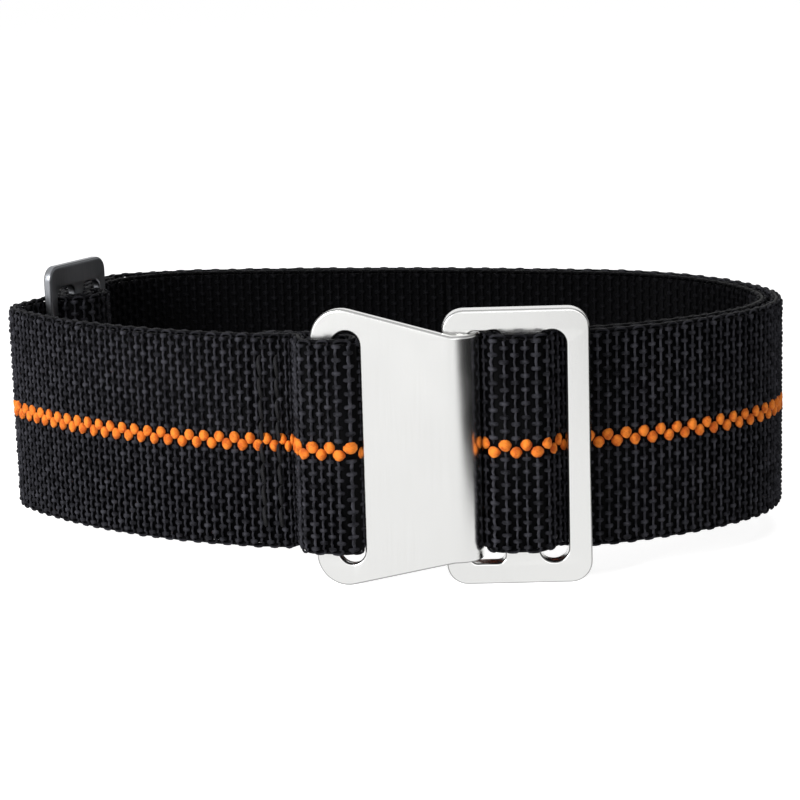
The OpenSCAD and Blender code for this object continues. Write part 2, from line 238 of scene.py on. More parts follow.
@dataclass
class StrapRoute:
    """The whole line that the webbing follows, with the sizes it depends on."""

    band_t: float = 1.3
    layer_gap: float = 0.08  # between two layers of webbing
    wrap_gap: float = 0.12  # between webbing and metal
    band_mid: float = 12.6  # height of the webbing's middle
    near: Element = (5.0, 13.6)  # the loop's first arc, beside the frame
    right_front: Element = (30.8, 30.7)
    right_side: Element = (12.3, 58.9)
    right_back: Element = (21.4, 58.2)
    back_turn: float = 16.0  # the radius follows, because the loop has to close
    left_back: Element = (10.0, 67.0)
    left_turn: float = 60.0  # the radius follows here too
    front_r: float = 45.5
    frame_t: float = 1.8
    frame_side_bar: float = 2.1
    frame_centre_bar: float = 3.1
    frame_hook_slot: float = 3.15
    frame_fold_slot: float = 2.6
    frame_edge: float = 0.45  # how far inside the bar the fold's arcs have their centres
    fold_loose: float = 0.3  # play between the fold and the centre bar
    fold_end: float = 0.2  # straight at the end of the fold
    hook_t: float = 1.0
    hook_bend_r: float = 1.5
    hook_flat: float = 12.4
    hook_bar: float = 2.1
    hook_rest: float = 13.0  # angle of the hook to the frame
    hook_shift: float = 0.15  # from the middle of the frame's bar to the hook's axis
    hem_corner: float = 0.3
    hem_loose: float = 0.8  # play between the hem and the hook's bar
    hem_reach: float = 2.8  # from the hook's far edge to the start of the ramp
    seam_run: float = 3.4  # length of the hem before the ramp
    ramp_past: float = 0.3  # how far past the hook's far edge it ends
    ramp_r: float = 1.35
    return_r: float = 2.6
    tail_back: float = 2.8  # length of the hem's free end
    front_part: float = 0.42  # share of the front arc that rides with the frame
    slider_t: float = 0.9
    slider_side_bar: float = 1.2
    slider_slot: float = 3.0
    slider_centre_bar: float = 1.5
    slider_corner: float = 0.3
    slider_travel: float = 2.2
    pass_spare: float = 0.5  # straight that is left past the travel
    dive_r: float = 0.8
    climb_turn: float = 32.0  # turn in which the end goes out by one more layer
    climb_tilt: float = 8.0  # how far it tilts outwards for that
    cover_turn: float = 18.0  # turn that it lies over the hem's free end
    tail_turn: float = 15.0  # turn of that free end
    seam_first: float = 0.85  # from the start of the hook's hem to its first row
    seam_row: float = 1.6  # between the two rows of a seam
    seam_from_slider: float = 2.2  # from the slider's edge to the far row of its seam
    seam_line: float = 6.0  # straight that this seam lies on
    seam_sunk: float = 0.22  # how far the seam's inner stitches lie in the hem
    runs: dict[str, Run] = field(default_factory=dict)

    def __post_init__(self) -> None:
        """Works out the places and runs from the sizes."""
        self.half_t = self.band_t / 2
        self.pitch = self.band_t + self.layer_gap
        self.frame_x0 = -self.frame_centre_bar / 2 - self.frame_hook_slot - self.frame_side_bar
        self.frame_x1 = self.frame_centre_bar / 2 + self.frame_fold_slot + self.frame_side_bar
        hook_x = self.frame_x0 + self.frame_side_bar / 2 - self.hook_shift
        self.hook_at = Place(hook_x, 0, -self.hook_rest)
        self.hook_mid = -self.hook_bend_r - self.hook_t / 2
        self.slider_w = 2 * (self.slider_side_bar + self.slider_slot) + self.slider_centre_bar
        self.slider_mid = self.slider_t / 2 + self.wrap_gap + self.half_t
        self.pass_half = self.slider_w / 2 + self.slider_travel + self.pass_spare
        self.hook_seam = (-self.half_t, self.pitch + self.half_t)
        self.slider_seam = (
            -2 * self.pitch - self.half_t,
            -self.pitch + self.half_t - self.seam_sunk,
        )
        self._lay_loop()
        self._lay_frame_fold()
        self._lay_hook_hem()
        self._lay_slider()

    def _lay_loop(self) -> None:
        """Lays the inner layer of the loop, and the outer one beside it."""
        y_inner = self.frame_t / 2 + self.wrap_gap + self.half_t + self.pitch
        fold_x1 = self.frame_centre_bar / 2 + self.frame_fold_slot + self.frame_edge
        start = Place(fold_x1 + self.fold_end, y_inner, 0)
        goal = self.hook_at.local(Place(-self.hook_flat - self.hem_reach, 0, 0))
        turns = [self.near, self.right_front, self.right_side, self.right_back]
        back_h = sum(turn for _, turn in turns)
        left_h = back_h + self.back_turn + self.left_back[1]
        front_turn = 360 - self.hook_rest - left_h - self.left_turn

        def loop(back_r: float, left_r: float) -> list[Element]:
            """All elements of the loop for two radii."""
            return [
                *turns,
                (back_r, self.back_turn),
                self.left_back,
                (0, 2 * self.pass_half),
                (left_r, self.left_turn),
                (self.front_r, front_turn),
            ]

        no_radius = 1e-6  # an arc of it turns the line without adding to it
        open_end = Run(start, tuple(loop(no_radius, no_radius))).end
        back_r, left_r = two_radii(
            Place(0, 0, back_h).moved((1, self.back_turn)),
            Place(0, 0, left_h).moved((1, self.left_turn)),
            goal.x - open_end.x,
            goal.y - open_end.y,
        )
        whole = loop(back_r, left_r)
        self.seam_turn = math.degrees(self.seam_run / self.front_r)
        right = Run(start, tuple(whole[:3]))
        back = right.then(whole[3:6])
        self.pass_start = back.end
        straight = back.then([whole[6]])
        self.slider_at = self.pass_start.moved((0, self.pass_half))
        left = straight.then([whole[7], (self.front_r, front_turn * (1 - self.front_part))])
        front = left.then([(self.front_r, front_turn * self.front_part - self.seam_turn)])
        left_back_r, left_back_turn = self.left_back
        outer_turn = left_back_turn - self.climb_turn - self.cover_turn
        outer = Run(back.start, (whole[3], whole[4], (left_back_r, outer_turn)))
        self.runs.update(
            right_inner=right,
            right_outer=right.outside(self.pitch),
            back_inner=back,
            back_outer=outer.outside(self.pitch),
            left_bend=left,
            front_run=front,
        )

    def _lay_frame_fold(self) -> None:
        """Lays the fold round the frame's centre bar."""
        fold_r = self.frame_edge + self.wrap_gap + self.half_t
        y_outer = self.frame_t / 2 + self.wrap_gap + self.half_t
        y_inner = y_outer + self.pitch
        x0 = self.frame_centre_bar / 2 - self.frame_edge
        x1 = self.frame_centre_bar / 2 + self.frame_fold_slot + self.frame_edge
        flat, turn = s_bend(x1 - x0, 2 * y_outer, 2 * fold_r)
        start = Place(self.runs["right_inner"].start.x, y_inner, 180)
        elements = [
            (0, start.x + x0 + self.fold_loose),
            (fold_r, 90),
            (0, y_inner + y_outer - 2 * fold_r),
            (fold_r, 90),
            (0, 2 * x0 + self.fold_loose),
            (fold_r, turn),
            (0, flat),
            (-fold_r, -turn),
            (0, self.fold_end),
        ]
        self.runs["frame_fold"] = Run(start, tuple(elements))

    def _lay_hook_hem(self) -> None:
        """Lays the hem round the hook's bar, from the run to the sewn tail."""
        hem_r = self.hem_corner + self.wrap_gap + self.half_t
        crest = self.hook_mid - self.hook_t / 2 - self.wrap_gap - self.half_t
        back = self.hook_mid + self.hook_t / 2 + self.wrap_gap + self.half_t
        turn_x = -self.hook_flat + self.hook_bar - self.hem_corner + self.hem_loose
        seam_x = -self.hook_flat - self.hem_reach
        ramp_x = -self.hook_flat + self.ramp_past
        ramp_flat, ramp_a = s_bend(ramp_x - seam_x, -crest, 2 * self.ramp_r)
        return_flat, return_a = s_bend(turn_x - seam_x, self.pitch - back, 2 * self.return_r)
        elements = [
            (self.front_r, self.seam_turn),
            (-self.ramp_r, -ramp_a),
            (0, ramp_flat),
            (self.ramp_r, ramp_a),
            (0, turn_x - ramp_x),
            (hem_r, 90),
            (0, self.hook_t - 2 * self.hem_corner),
            (hem_r, 90),
            (-self.return_r, -return_a),
            (0, return_flat),
            (self.return_r, return_a),
            (-(self.front_r - self.pitch), -math.degrees(self.tail_back / self.front_r)),
        ]
        self.runs["hook_hem"] = self.runs["front_run"].then(elements)

    def _lay_slider(self) -> None:
        """Lays the pass through the slider, and the hem round its centre bar."""
        wrap_r = self.slider_corner + self.wrap_gap + self.half_t
        over_r = wrap_r + self.pitch
        cover_r = over_r + self.pitch
        bar_x = self.slider_centre_bar / 2 - self.slider_corner
        side_x = self.slider_centre_bar / 2 + self.slider_slot + self.slider_corner
        flat, turn = s_bend(side_x - bar_x, 2 * self.slider_mid + self.pitch, wrap_r + over_r)
        lead = (0, self.pass_half - side_x)
        self.runs["slider_pass"] = Run(
            self.pass_start,
            (
                lead,
                (wrap_r, turn),
                (0, flat),
                (-over_r, -turn),
                (0, 2 * bar_x),
                (-over_r, -turn),
                (0, flat),
                (wrap_r, turn),
                lead,
            ),
        )
        left_r = self.left_back[0]
        rise = Place(0, 0, 0).moved((left_r + 2 * self.pitch, self.climb_turn))
        climb_up, climb_down = two_radii(
            Place(0, 0, 0).moved((1, -self.climb_tilt)),
            Place(0, 0, -self.climb_tilt).moved((1, self.climb_turn + self.climb_tilt)),
            rise.x,
            rise.y - (left_r + 2 * self.pitch) + (left_r + self.pitch),
        )
        drop = cover_r - 2 * self.pitch + self.dive_r
        dive = math.degrees(math.acos(drop / (cover_r + self.dive_r)))
        dive_x = -side_x + (cover_r + self.dive_r) * math.sin(math.radians(dive))
        self.runs["slider_hem"] = self.runs["back_outer"].then(
            [
                (climb_up, -self.climb_tilt),
                (climb_down, self.climb_turn + self.climb_tilt),
                (left_r + 2 * self.pitch, self.cover_turn),
                lead,
                (cover_r, dive),
                (-self.dive_r, -dive),
                (0, bar_x - dive_x),
                (wrap_r, 90),
                (0, self.slider_t - 2 * self.slider_corner),
                (wrap_r, 90),
                (0, 2 * bar_x),
                (wrap_r, turn),
                (0, flat),
                (-over_r, -turn),
                lead,
                (-(left_r + self.pitch), -self.tail_turn),
            ]
        )


# Finishes


def linear(code: str) -> tuple[float, float, float, float]:
    """An sRGB hex colour as the linear RGBA that a shader socket takes.

    Args:
        code: Six hex digits, with or without a leading hash.

    Returns:
        Linear red, green, blue and an alpha of 1.
    """
    code = code.lstrip("#")
    parts = [int(code[i : i + 2], 16) / 255 for i in (0, 2, 4)]
    r, g, b = (c / 12.92 if c <= 0.04045 else ((c + 0.055) / 1.055) ** 2.4 for c in parts)
    return r, g, b, 1.0


def add_node(
    tree: bpy.types.NodeTree, kind: str, inputs: Optional[dict] = None, **settings
) -> bpy.types.Node:
    """Adds one node with its settings and input values.

    Args:
        tree: The node tree.
        kind: Blender's name of the node type.
        inputs: Values, or output sockets to link, by input name or number.
        settings: Attributes of the node.

    Returns:
        The new node.
    """
    node = tree.nodes.new(kind)
    for key, value in settings.items():
        setattr(node, key, value)
    for key, value in (inputs or {}).items():
        if isinstance(value, bpy.types.NodeSocket):
            tree.links.new(value, node.inputs[key])
        else:
            node.inputs[key].default_value = value
    return node


def new_material(name: str) -> tuple[bpy.types.Material, bpy.types.NodeTree, bpy.types.Node]:
    """An empty material with an output.

    Args:
        name: Name of the material.

    Returns:
        The material, its tree and its output node.
    """
    material = bpy.data.materials.new(name)
    material.use_nodes = True
    tree = material.node_tree
    tree.nodes.clear()
    return material, tree, tree.nodes.new("ShaderNodeOutputMaterial")


@dataclass(frozen=True)
class YarnFinish:
    """Textured filament yarn, dyed, as it is woven or sewn, with its light and shade painted into
    the colour.
    """

    name: str
    slot: str
    # deep is the dye in painted shade, lit is the same dye painted as lit; the tone attribute mixes
    # them
    deep: str
    lit: str
    roughness: float
    sheen: float
    gloss: float = 0.2
    filament: float = 0.09  # mm across one bundle of filaments
    relief: float = 0.03  # mm of height between bundles
    lay: float = 0.42  # slant of the filaments round the yarn, in radians
    tone_and_glints: float = 1300.0  # painted glints with random tone between them: per metre, so about 0.8 mm long
    glint_range: tuple[float, float] = (0.1, 0.9)  # painted glints: shade from one fleck to the next
    strand: float = 0.35  # what a bundle's crest adds to the shade

    def material(self) -> bpy.types.Material:
        """Builds the material, which follows the yarn by its UV map.

        Returns:
            The finished material.
        """
        material, tree, out = new_material(self.name)
        uv = add_node(tree, "ShaderNodeUVMap", uv_map="yarn")
        along = add_node(
            tree,
            "ShaderNodeMapping",
            {"Vector": uv.outputs["UV"], "Rotation": (0, 0, self.lay)},
        )
        # UV units are millimetres, so one band per filament width
        bands = add_node(
            tree,
            "ShaderNodeTexWave",
            {
                "Vector": along.outputs["Vector"],
                "Scale": BAND_PER_UNIT / self.filament,
                "Distortion": 2.2,
                "Detail": 2.0,
                "Detail Scale": 1.6,
            },
            bands_direction="Y",
        )
        place = add_node(tree, "ShaderNodeTexCoord")
        # painted glints: short lighter flecks along the yarn, with random tone between them
        tone_and_glints = add_node(
            tree,
            "ShaderNodeTexNoise",
            {"Vector": place.outputs["Object"], "Scale": self.tone_and_glints, "Detail": 2.0},
        )
        glint_patches = add_node(
            tree,
            "ShaderNodeMapRange",
            {
                "Value": tone_and_glints.outputs["Fac"],
                "From Min": 0.35,
                "From Max": 0.65,
                "To Min": self.glint_range[0],
                "To Max": self.glint_range[1],
            },
        )
        tone = add_node(tree, "ShaderNodeAttribute", attribute_name="tone")
        share = add_node(
            tree,
            "ShaderNodeMath",
            {0: bands.outputs["Fac"], 1: self.strand, 2: glint_patches.outputs["Result"]},
            operation="MULTIPLY_ADD",
        )
        lift = add_node(
            tree,
            "ShaderNodeMath",
            {0: tone.outputs["Fac"], 1: share.outputs["Value"]},
            operation="MULTIPLY",
            use_clamp=True,
        )
        # painted light and shade: the tone mixes the shaded dye into the lit one
        colour = add_node(
            tree,
            "ShaderNodeMix",
            {"Factor": lift.outputs["Value"], 6: linear(self.deep), 7: linear(self.lit)},
            data_type="RGBA",
        )
        bump = add_node(
            tree,
            "ShaderNodeBump",
            {"Height": bands.outputs["Fac"], "Strength": 0.8, "Distance": self.relief * MM},
        )
        shader = add_node(
            tree,
            "ShaderNodeBsdfPrincipled",
            {
                "Base Color": colour.outputs[2],
                "Roughness": self.roughness,
                "Specular IOR Level": self.gloss,
                "Sheen Weight": self.sheen,
                "Sheen Roughness": 0.4,
                "Normal": bump.outputs["Normal"],
            },
        )
        tree.links.new(shader.outputs["BSDF"], out.inputs["Surface"])
        return material


@dataclass(frozen=True)
class MetalFinish:
    """Sheet or bar metal with a fine blasted or plated surface."""

    name: str
    slot: str
    colour: str
    tint: str
    smooth: float
    rough: float
    grain: float = 0.14  # mm across one grain of the blasting
    relief: float = 0.004  # mm of height of that grain
    clouds: float = 170.0  # per metre: soft clouds of handling, about 6 mm across
    hairs: float = 20000.0  # per metre: hairlines 0.05 mm wide
    hair_length: float = 0.012  # their scale along the height, some 4 mm long
    hair_share: float = 0.35  # how much of the relief they make
    # colour of the painted dark reflection on the rolled edges
    reflection_colour: str = "#2A2A2C"
    edge_reflection: float = 0.65  # painted dark reflection: how far a rolled edge goes to that colour

    def material(self) -> bpy.types.Material:
        """Builds the material on the piece's own object coordinates.

        Returns:
            The finished material.
        """
        material, tree, out = new_material(self.name)
        place = add_node(tree, "ShaderNodeTexCoord")
        grain = add_node(
            tree,
            "ShaderNodeTexNoise",
            {
                "Vector": place.outputs["Object"],
                "Scale": 1 / (self.grain * MM),
                "Detail": 4.0,
                "Roughness": 0.6,
            },
        )
        clouds = add_node(
            tree,
            "ShaderNodeTexNoise",
            {
                "Vector": place.outputs["Object"],
                "Scale": self.clouds,
                "Detail": 5.0,
                "Roughness": 0.55,
                "Distortion": 0.4,
            },
        )
        stretch = add_node(
            tree,
            "ShaderNodeMapping",
            {"Vector": place.outputs["Object"], "Scale": (1.0, 1.0, self.hair_length)},
        )
        hairs = add_node(
            tree,
            "ShaderNodeTexNoise",
            {"Vector": stretch.outputs["Vector"], "Scale": self.hairs, "Detail": 2.0},
        )
        rough = add_node(
            tree,
            "ShaderNodeMapRange",
            {
                "Value": clouds.outputs["Fac"],
                "From Min": 0.3,
                "From Max": 0.7,
                "To Min": self.smooth,
                "To Max": self.rough,
            },
        )
        face = add_node(
            tree,
            "ShaderNodeMix",
            {"Factor": hairs.outputs["Fac"], 6: linear(self.colour), 7: linear(self.tint)},
            data_type="RGBA",
        )
        # a painted dark reflection on the rolled edges
        rim = add_node(tree, "ShaderNodeAttribute", attribute_name="rim")
        dark = add_node(
            tree,
            "ShaderNodeMath",
            {0: rim.outputs["Fac"], 1: self.edge_reflection},
            operation="MULTIPLY",
        )
        colour = add_node(
            tree,
            "ShaderNodeMix",
            {"Factor": dark.outputs["Value"], 6: face.outputs[2], 7: linear(self.reflection_colour)},
            data_type="RGBA",
        )
        height = add_node(
            tree,
            "ShaderNodeMath",
            {0: hairs.outputs["Fac"], 1: self.hair_share, 2: grain.outputs["Fac"]},
            operation="MULTIPLY_ADD",
        )
        bump = add_node(
            tree,
            "ShaderNodeBump",
            {"Height": height.outputs["Value"], "Strength": 0.6, "Distance": self.relief * MM},
        )
        shader = add_node(
            tree,
            "ShaderNodeBsdfPrincipled",
            {
                "Base Color": colour.outputs[2],
                "Metallic": 1.0,
                "Roughness": rough.outputs["Result"],
                "Normal": bump.outputs["Normal"],
            },
        )
        tree.links.new(shader.outputs["BSDF"], out.inputs["Surface"])
        return material


# textured nylon, dyed black: a painted grey highlight only on the crests, and next to no gloss
BLACK_NYLON = YarnFinish(
    "black_nylon_woven", "webbing", "#020203", "#434349", roughness=0.5, sheen=0.0, gloss=0.035
)
# the same yarn dyed orange: painted light on the crests, and painted shade in a darker brownish
# orange where it dives into the weave
ORANGE_NYLON = YarnFinish(
    "orange_nylon_woven", "tracer", "#B04008", "#FF8E2E", roughness=0.6, sheen=0.05
)
# bonded polyester sewing thread: twisted harder, with a little more gloss
BLACK_THREAD = YarnFinish(
    "black_polyester_thread",
    "thread",
    "#060608",
    "#1E1E23",
    roughness=0.45,
    sheen=0.05,
    filament=0.12,
    relief=0.04,
    lay=0.7,
)
# stainless steel, blasted and lightly brushed: pale, with soft wide reflections
BLASTED_STEEL = MetalFinish(
    "stainless_steel_blasted", "clasp_metal", "#E4E4E3", "#DEDEDC", smooth=0.2, rough=0.27
)
# dark plated steel: a grey that mirrors its surroundings dimly
DARK_PLATED = MetalFinish(
    "dark_plated_steel", "slider_metal", "#989A9E", "#6F7175", smooth=0.30, rough=0.40
)


# Meshes


def make_object(name: str, mesh: bpy.types.Mesh) -> bpy.types.Object:
    """A new object at the origin, in the scene's own collection."""
    thing = bpy.data.objects.new(name, mesh)
    bpy.context.scene.collection.objects.link(thing)
    return thing


def positions(mesh: bpy.types.Mesh) -> np.ndarray:
    """All vertices of a mesh as rows of x, y, z."""
    co = np.zeros(len(mesh.vertices) * 3, np.float64)
    mesh.vertices.foreach_get("co", co)
    return co.reshape(-1, 3)


def discard(thing: bpy.types.Object) -> None:
    """Removes an object that was only needed to build another, with its mesh."""
    mesh = thing.data
    bpy.data.objects.remove(thing)
    bpy.data.meshes.remove(mesh)


def bend_along(
    mesh: bpy.types.Mesh, run: Run, mid: float, reach: Callable[[np.ndarray], np.ndarray]
) -> None:
    """Bends a flat mesh along a run, in place.

    Args:
        mesh: In metres, x the distance along, y the distance to the left and z the height.
        run: The line to follow.
        mid: Height of z = 0 above the table, in millimetres.
        reach: Turns distances in the mesh into distances along the run, in millimetres.
    """
    co = positions(mesh) / MM
    x, y, h = run.at(reach(co[:, 0]))
    out = np.c_[x - co[:, 1] * np.sin(h), y + co[:, 1] * np.cos(h), mid + co[:, 2]] * MM
    mesh.vertices.foreach_set("co", out.ravel())
    mesh.update()


@dataclass
class TubeSet:
    """Collects tubes of yarn into one mesh with a UV map in millimetres."""

    verts: list = field(default_factory=list)
    faces: list = field(default_factory=list)
    uvs: list = field(default_factory=list)
    tones: list = field(default_factory=list)

    def add(
        self,
        line: np.ndarray,
        across: np.ndarray,
        up: np.ndarray,
        sides: int,
        tone: float | np.ndarray,
        caps: bool = False,
    ) -> None:
        """Adds one tube.

        Args:
            line: Centres of its rings.
            across: Half axis of each ring's ellipse.
            up: The other half axis, so that across x up points back along the line.
            sides: Corners of a ring.
            tone: Shade of the yarn from 0 to 1, one for all rings or one each.
            caps: Whether both ends are closed.
        """
        base = len(self.verts)
        angles = np.arange(sides) * 2 * math.pi / sides + math.pi / sides
        rings = line[:, None] + across[:, None] * np.cos(angles)[None, :, None]
        rings = rings + up[:, None] * np.sin(angles)[None, :, None]
        self.verts.extend(rings.reshape(-1, 3).tolist())
        self.tones.extend(np.repeat(np.broadcast_to(tone, len(line)), sides).tolist())
        far = np.r_[0, np.cumsum(np.linalg.norm(np.diff(line, axis=0), axis=1))]
        halves = np.linalg.norm(across, axis=1) + np.linalg.norm(up, axis=1)
        round_mm = math.pi * float(np.mean(halves))
        for i in range(len(line) - 1):
            for k in range(sides):
                n = (k + 1) % sides
                a, b = base + i * sides, base + (i + 1) * sides
                self.faces.append((a + k, a + n, b + n, b + k))
                u0, u1 = far[i], far[i + 1]
                v0, v1 = k * round_mm / sides, (k + 1) * round_mm / sides
                self.uvs.extend([(u0, v0), (u0, v1), (u1, v1), (u1, v0)])
        if caps:
            first = [base + k for k in range(sides)]
            last = [base + (len(line) - 1) * sides + k for k in range(sides)]
            for ring in (first[::-1], last):
                self.faces.append(tuple(ring))
                self.uvs.extend([(0.0, 0.0)] * sides)

    def mesh(self, name: str) -> bpy.types.Mesh:
        """The collected tubes as a mesh in metres.

        Args:
            name: Name of the mesh.

        Returns:
            A smooth mesh with the UV map "yarn" and the attribute "tone".
        """
        mesh = bpy.data.meshes.new(name)
        mesh.from_pydata((np.array(self.verts) * MM).tolist(), [], self.faces)
        layer = mesh.uv_layers.new(name="yarn")
        layer.data.foreach_set("uv", np.array(self.uvs, np.float32).ravel())
        tone = mesh.attributes.new("tone", "FLOAT", "POINT")
        tone.data.foreach_set("value", np.array(self.tones, np.float32))
        mesh.shade_smooth()
        return mesh


# The weave


class Yarns(Enum):
    """Which yarns of the weave a mesh holds."""

    GROUND = "ground"
    TRACER = "tracer"


@dataclass(frozen=True)
class Yarn:
    """Shape of one warp yarn, in millimetres, and its shade from 0 to 1."""

    swing: float  # how far it goes to either face
    deep: float  # half its thickness
    wide: float  # half its width where it crosses over
    bulge: float  # half the width that a crest adds
    crest: float  # above 1, crests are short and steep
    tone: float
    steps: tuple[float, ...]  # where along a pick its rings stand
    low: float = 0.15  # painted shade: share of its tone that is left between two crests, where it dives
    sides: int = 8


@dataclass(frozen=True)
class Weave:
    """Weave of the elastic: 32 warp rows, two of them coloured, between two faces of weft."""

    row_pitch: float = 0.6
    tracer_pitch: float = 0.66
    side_rows: int = 15
    usual_pick: float = 0.72
    warp: Yarn = Yarn(
        swing=0.5,
        deep=0.14,
        wide=0.14,
        bulge=0.08,
        crest=0.62,
        tone=1.0,
        steps=(0.0, 0.22, 0.5, 0.78),
    )
    tracer: Yarn = Yarn(
        swing=0.39,
        deep=0.29,
        wide=0.25,
        bulge=0.33,
        crest=0.62,
        tone=1.5,
        steps=(0.0, 0.14, 0.28, 0.42, 0.58, 0.72, 0.86),
        low=0.35,
    )
    row_tones: tuple[float, float] = (0.8, 0.1)  # shade of the darkest row, and one step up
    crest_width: float = 1.4  # above 1, crests are wide over less of their length
    crossing: float = 0.8  # share of its thickness that a yarn keeps where it crosses over
    stretched: float = 1.5  # how fast crests sharpen as the picks stand wider apart
    weft_out: float = 0.43  # how far out of the middle the weft lies
    weft_press: float = 0.1  # how far a warp yarn presses it in
    weft_tracer: float = 0.18  # how far out it lies under the coloured rows
    weft_half: tuple[float, float] = (0.105, 0.12)  # half its width and thickness
    weft_sway: float = 0.045  # share of a pick that it swings aside at each row
    weft_tone: float = 0.9
    weft_sides: int = 6
    edge_z: float = 9.86
    edge_bow: tuple[tuple[float, float], ...] = (
        (0.35, 0.4),
        (0.4, 0.16),
        (0.62, 0.03),
        (1.0, 0.0),
    )  # the weft's loop at the edge: share of a pick, millimetres below the edge
    edge_reach: float = 0.5  # how far in from the edge the weft is darker
    edge_tone: float = 0.5
    edge_yarn: float = 0.2  # half the thickness of the cord in either edge
    edge_yarn_tone: float = 0.1
    edge_sunk: float = 0.6  # how far the cord stays inside the edge, in half thicknesses
    core: float = 0.3  # half the thickness of the rubber threads
    core_free: float = 0.4  # how far they stay inside the edges
    core_rings: int = 5  # enough of them to bend round a bar
    core_tone: float = 0.0

    def rows(self) -> list[float]:
        """Heights of all warp rows from the lowest up."""
        near = self.tracer_pitch / 2 + (self.tracer_pitch + self.row_pitch) / 2
        side = [near + self.row_pitch * k for k in range(self.side_rows)]
        return [-z for z in reversed(side)] + [-self.tracer_pitch / 2, self.tracer_pitch / 2] + side

    def cell(self, yarns: Yarns, pick: float) -> bpy.types.Object:
        """Two picks of the weave, which repeat along the band.

        Args:
            yarns: Which yarns to make.
            pick: Distance between two weft yarns.

        Returns:
            An object whose x runs along the band, y to the left and z up.
        """
        tubes = TubeSet()
        coloured = (self.side_rows, self.side_rows + 1)
        for i, z in enumerate(self.rows()):
            if (i in coloured) == (yarns is Yarns.TRACER):
                yarn = self.warp if yarns is Yarns.GROUND else self.tracer
                self._warp(tubes, z, i, pick, yarn)
        if yarns is Yarns.GROUND:
            for face in (1, -1):
                self._weft(tubes, pick, face)
            self._core(tubes, pick)
        return make_object(f"cell_{yarns.value}", tubes.mesh(f"cell_{yarns.value}"))

    def _warp(self, tubes: TubeSet, z: float, row: int, pick: float, yarn: Yarn) -> None:
        """Adds one warp yarn, which crosses to the other face and back over two picks.

        Args:
            tubes: Where it is added.
            z: Height of its row.
            row: Number of its row, which says where it starts and how dark it is.
            pick: Distance between two weft yarns.
            yarn: Its shape.
        """
        t = np.array([*yarn.steps, *(1 + u for u in yarn.steps), 2.0])
        none = np.zeros(len(t))
        side = 1 if row % 2 == 0 else -1
        wave = np.sin(math.pi * t)
        crest = yarn.crest * (pick / self.usual_pick) ** self.stretched
        over = np.sign(wave) * np.abs(wave) ** crest
        line = np.c_[t * pick, side * yarn.swing * over, none + z]
        ahead = self._directions(line, pick, [1, 1, 1])
        bulge = np.abs(wave) ** (self.crest_width * crest)
        across = np.c_[none, none, yarn.wide + yarn.bulge * bulge]
        deep = yarn.deep * (self.crossing + (1 - self.crossing) * bulge)
        up = np.c_[-ahead[:, 1], ahead[:, 0], none] * deep[:, None]
        darkest, step = self.row_tones
        row_tone = darkest + step * ((row * 7) % 5)  # five shades, never in order
        # painted shade: darker towards each crossing, where the yarn dives into the weave
        tone = yarn.tone * row_tone * (yarn.low + (1 - yarn.low) * bulge**2)
        tubes.add(line, -across, up, yarn.sides, tone)

    def _weft(self, tubes: TubeSet, pick: float, face: int) -> None:
        """Adds the weft yarn of one face.

        It goes up one pick, round the edge in a loop, down the next and round
        again. A warp yarn presses it in wherever one crosses over it.

        Args:
            tubes: Where it is added.
            pick: Distance between two weft yarns.
            face: 1 for the left face of the band, -1 for the right one.
        """
        crossings = []
        for i, z in enumerate(self.rows()):
            under = (1 if i % 2 == 0 else -1) * face
            out = self.weft_tracer if abs(z) < self.tracer_pitch else self.weft_out
            crossings.append((under, out, z))

        def pass_of(middle: float, sense: int) -> list[tuple[float, float, float]]:
            """One way across the band, swaying to either side of its middle."""
            return [
                (
                    middle + sense * n * self.weft_sway,
                    face * (out - self.weft_press * max(sense * n, 0)),
                    z,
                )
                for n, out, z in crossings[::sense]
            ]

        top, y = self.edge_z, face * (self.weft_out - self.weft_press)
        bow = [(t, y, top - below) for t, below in self.edge_bow]
        line = [(1 - t, y, -z) for t, y, z in reversed(bow)]
        line += pass_of(0.5, 1)
        line += bow + [(2 - t, y, z) for t, y, z in reversed(bow[:-1])]
        line += pass_of(1.5, -1)
        line += [(1 + t, y, -z) for t, y, z in bow]
        path = np.array(line) * [pick, 1, 1]
        ahead = self._directions(path, pick, [1, 0, 1])
        wide, deep = self.weft_half
        across = np.c_[-ahead[:, 2], np.zeros(len(path)), ahead[:, 0]] * wide
        up = np.tile([0.0, deep, 0.0], (len(path), 1))
        at_edge = np.abs(path[:, 2]) > top - self.edge_reach
        tones = np.where(at_edge, self.edge_tone, self.weft_tone)
        tubes.add(path, -across, -up, self.weft_sides, tones)

    def _core(self, tubes: TubeSet, pick: float) -> None:
        """Adds the dark rubber threads as one thin strip, and a cord in either edge."""
        line = np.outer(np.linspace(0, 2 * pick, self.core_rings), [1.0, 0.0, 0.0])
        rings = (len(line), 1)
        inner = self.edge_z - self.edge_sunk * self.edge_yarn
        for z in (-inner, inner):
            side = np.tile([0.0, 0.0, -self.edge_yarn], rings)
            up = np.tile([0.0, self.edge_yarn, 0.0], rings)
            tubes.add(line + [0, 0, z], side, up, self.weft_sides, self.edge_yarn_tone)
        # a ring of four corners is a square on its side, so its half axes are longer
        across = np.tile([0.0, 0.0, -(self.edge_z - self.core_free) * math.sqrt(2)], rings)
        up = np.tile([0.0, self.core * math.sqrt(2), 0.0], rings)
        tubes.add(line, across, up, 4, self.core_tone)

    @staticmethod
    def _directions(line: np.ndarray, pick: float, axes: list[int]) -> np.ndarray:
        """Unit directions along a yarn that goes on into the cells beside it.

        Args:
            line: Its points over two picks.
            pick: Distance between two weft yarns.
            axes: 1 for each axis that counts, 0 for one that doesn't.

        Returns:
            One direction for each point.
        """
        cell = [2 * pick, 0, 0]
        ends = np.r_[line[-2:-1] - cell, line, line[1:2] + cell]
        ahead = (ends[2:] - ends[:-2]) * axes
        return ahead / np.linalg.norm(ahead, axis=1)[:, None]


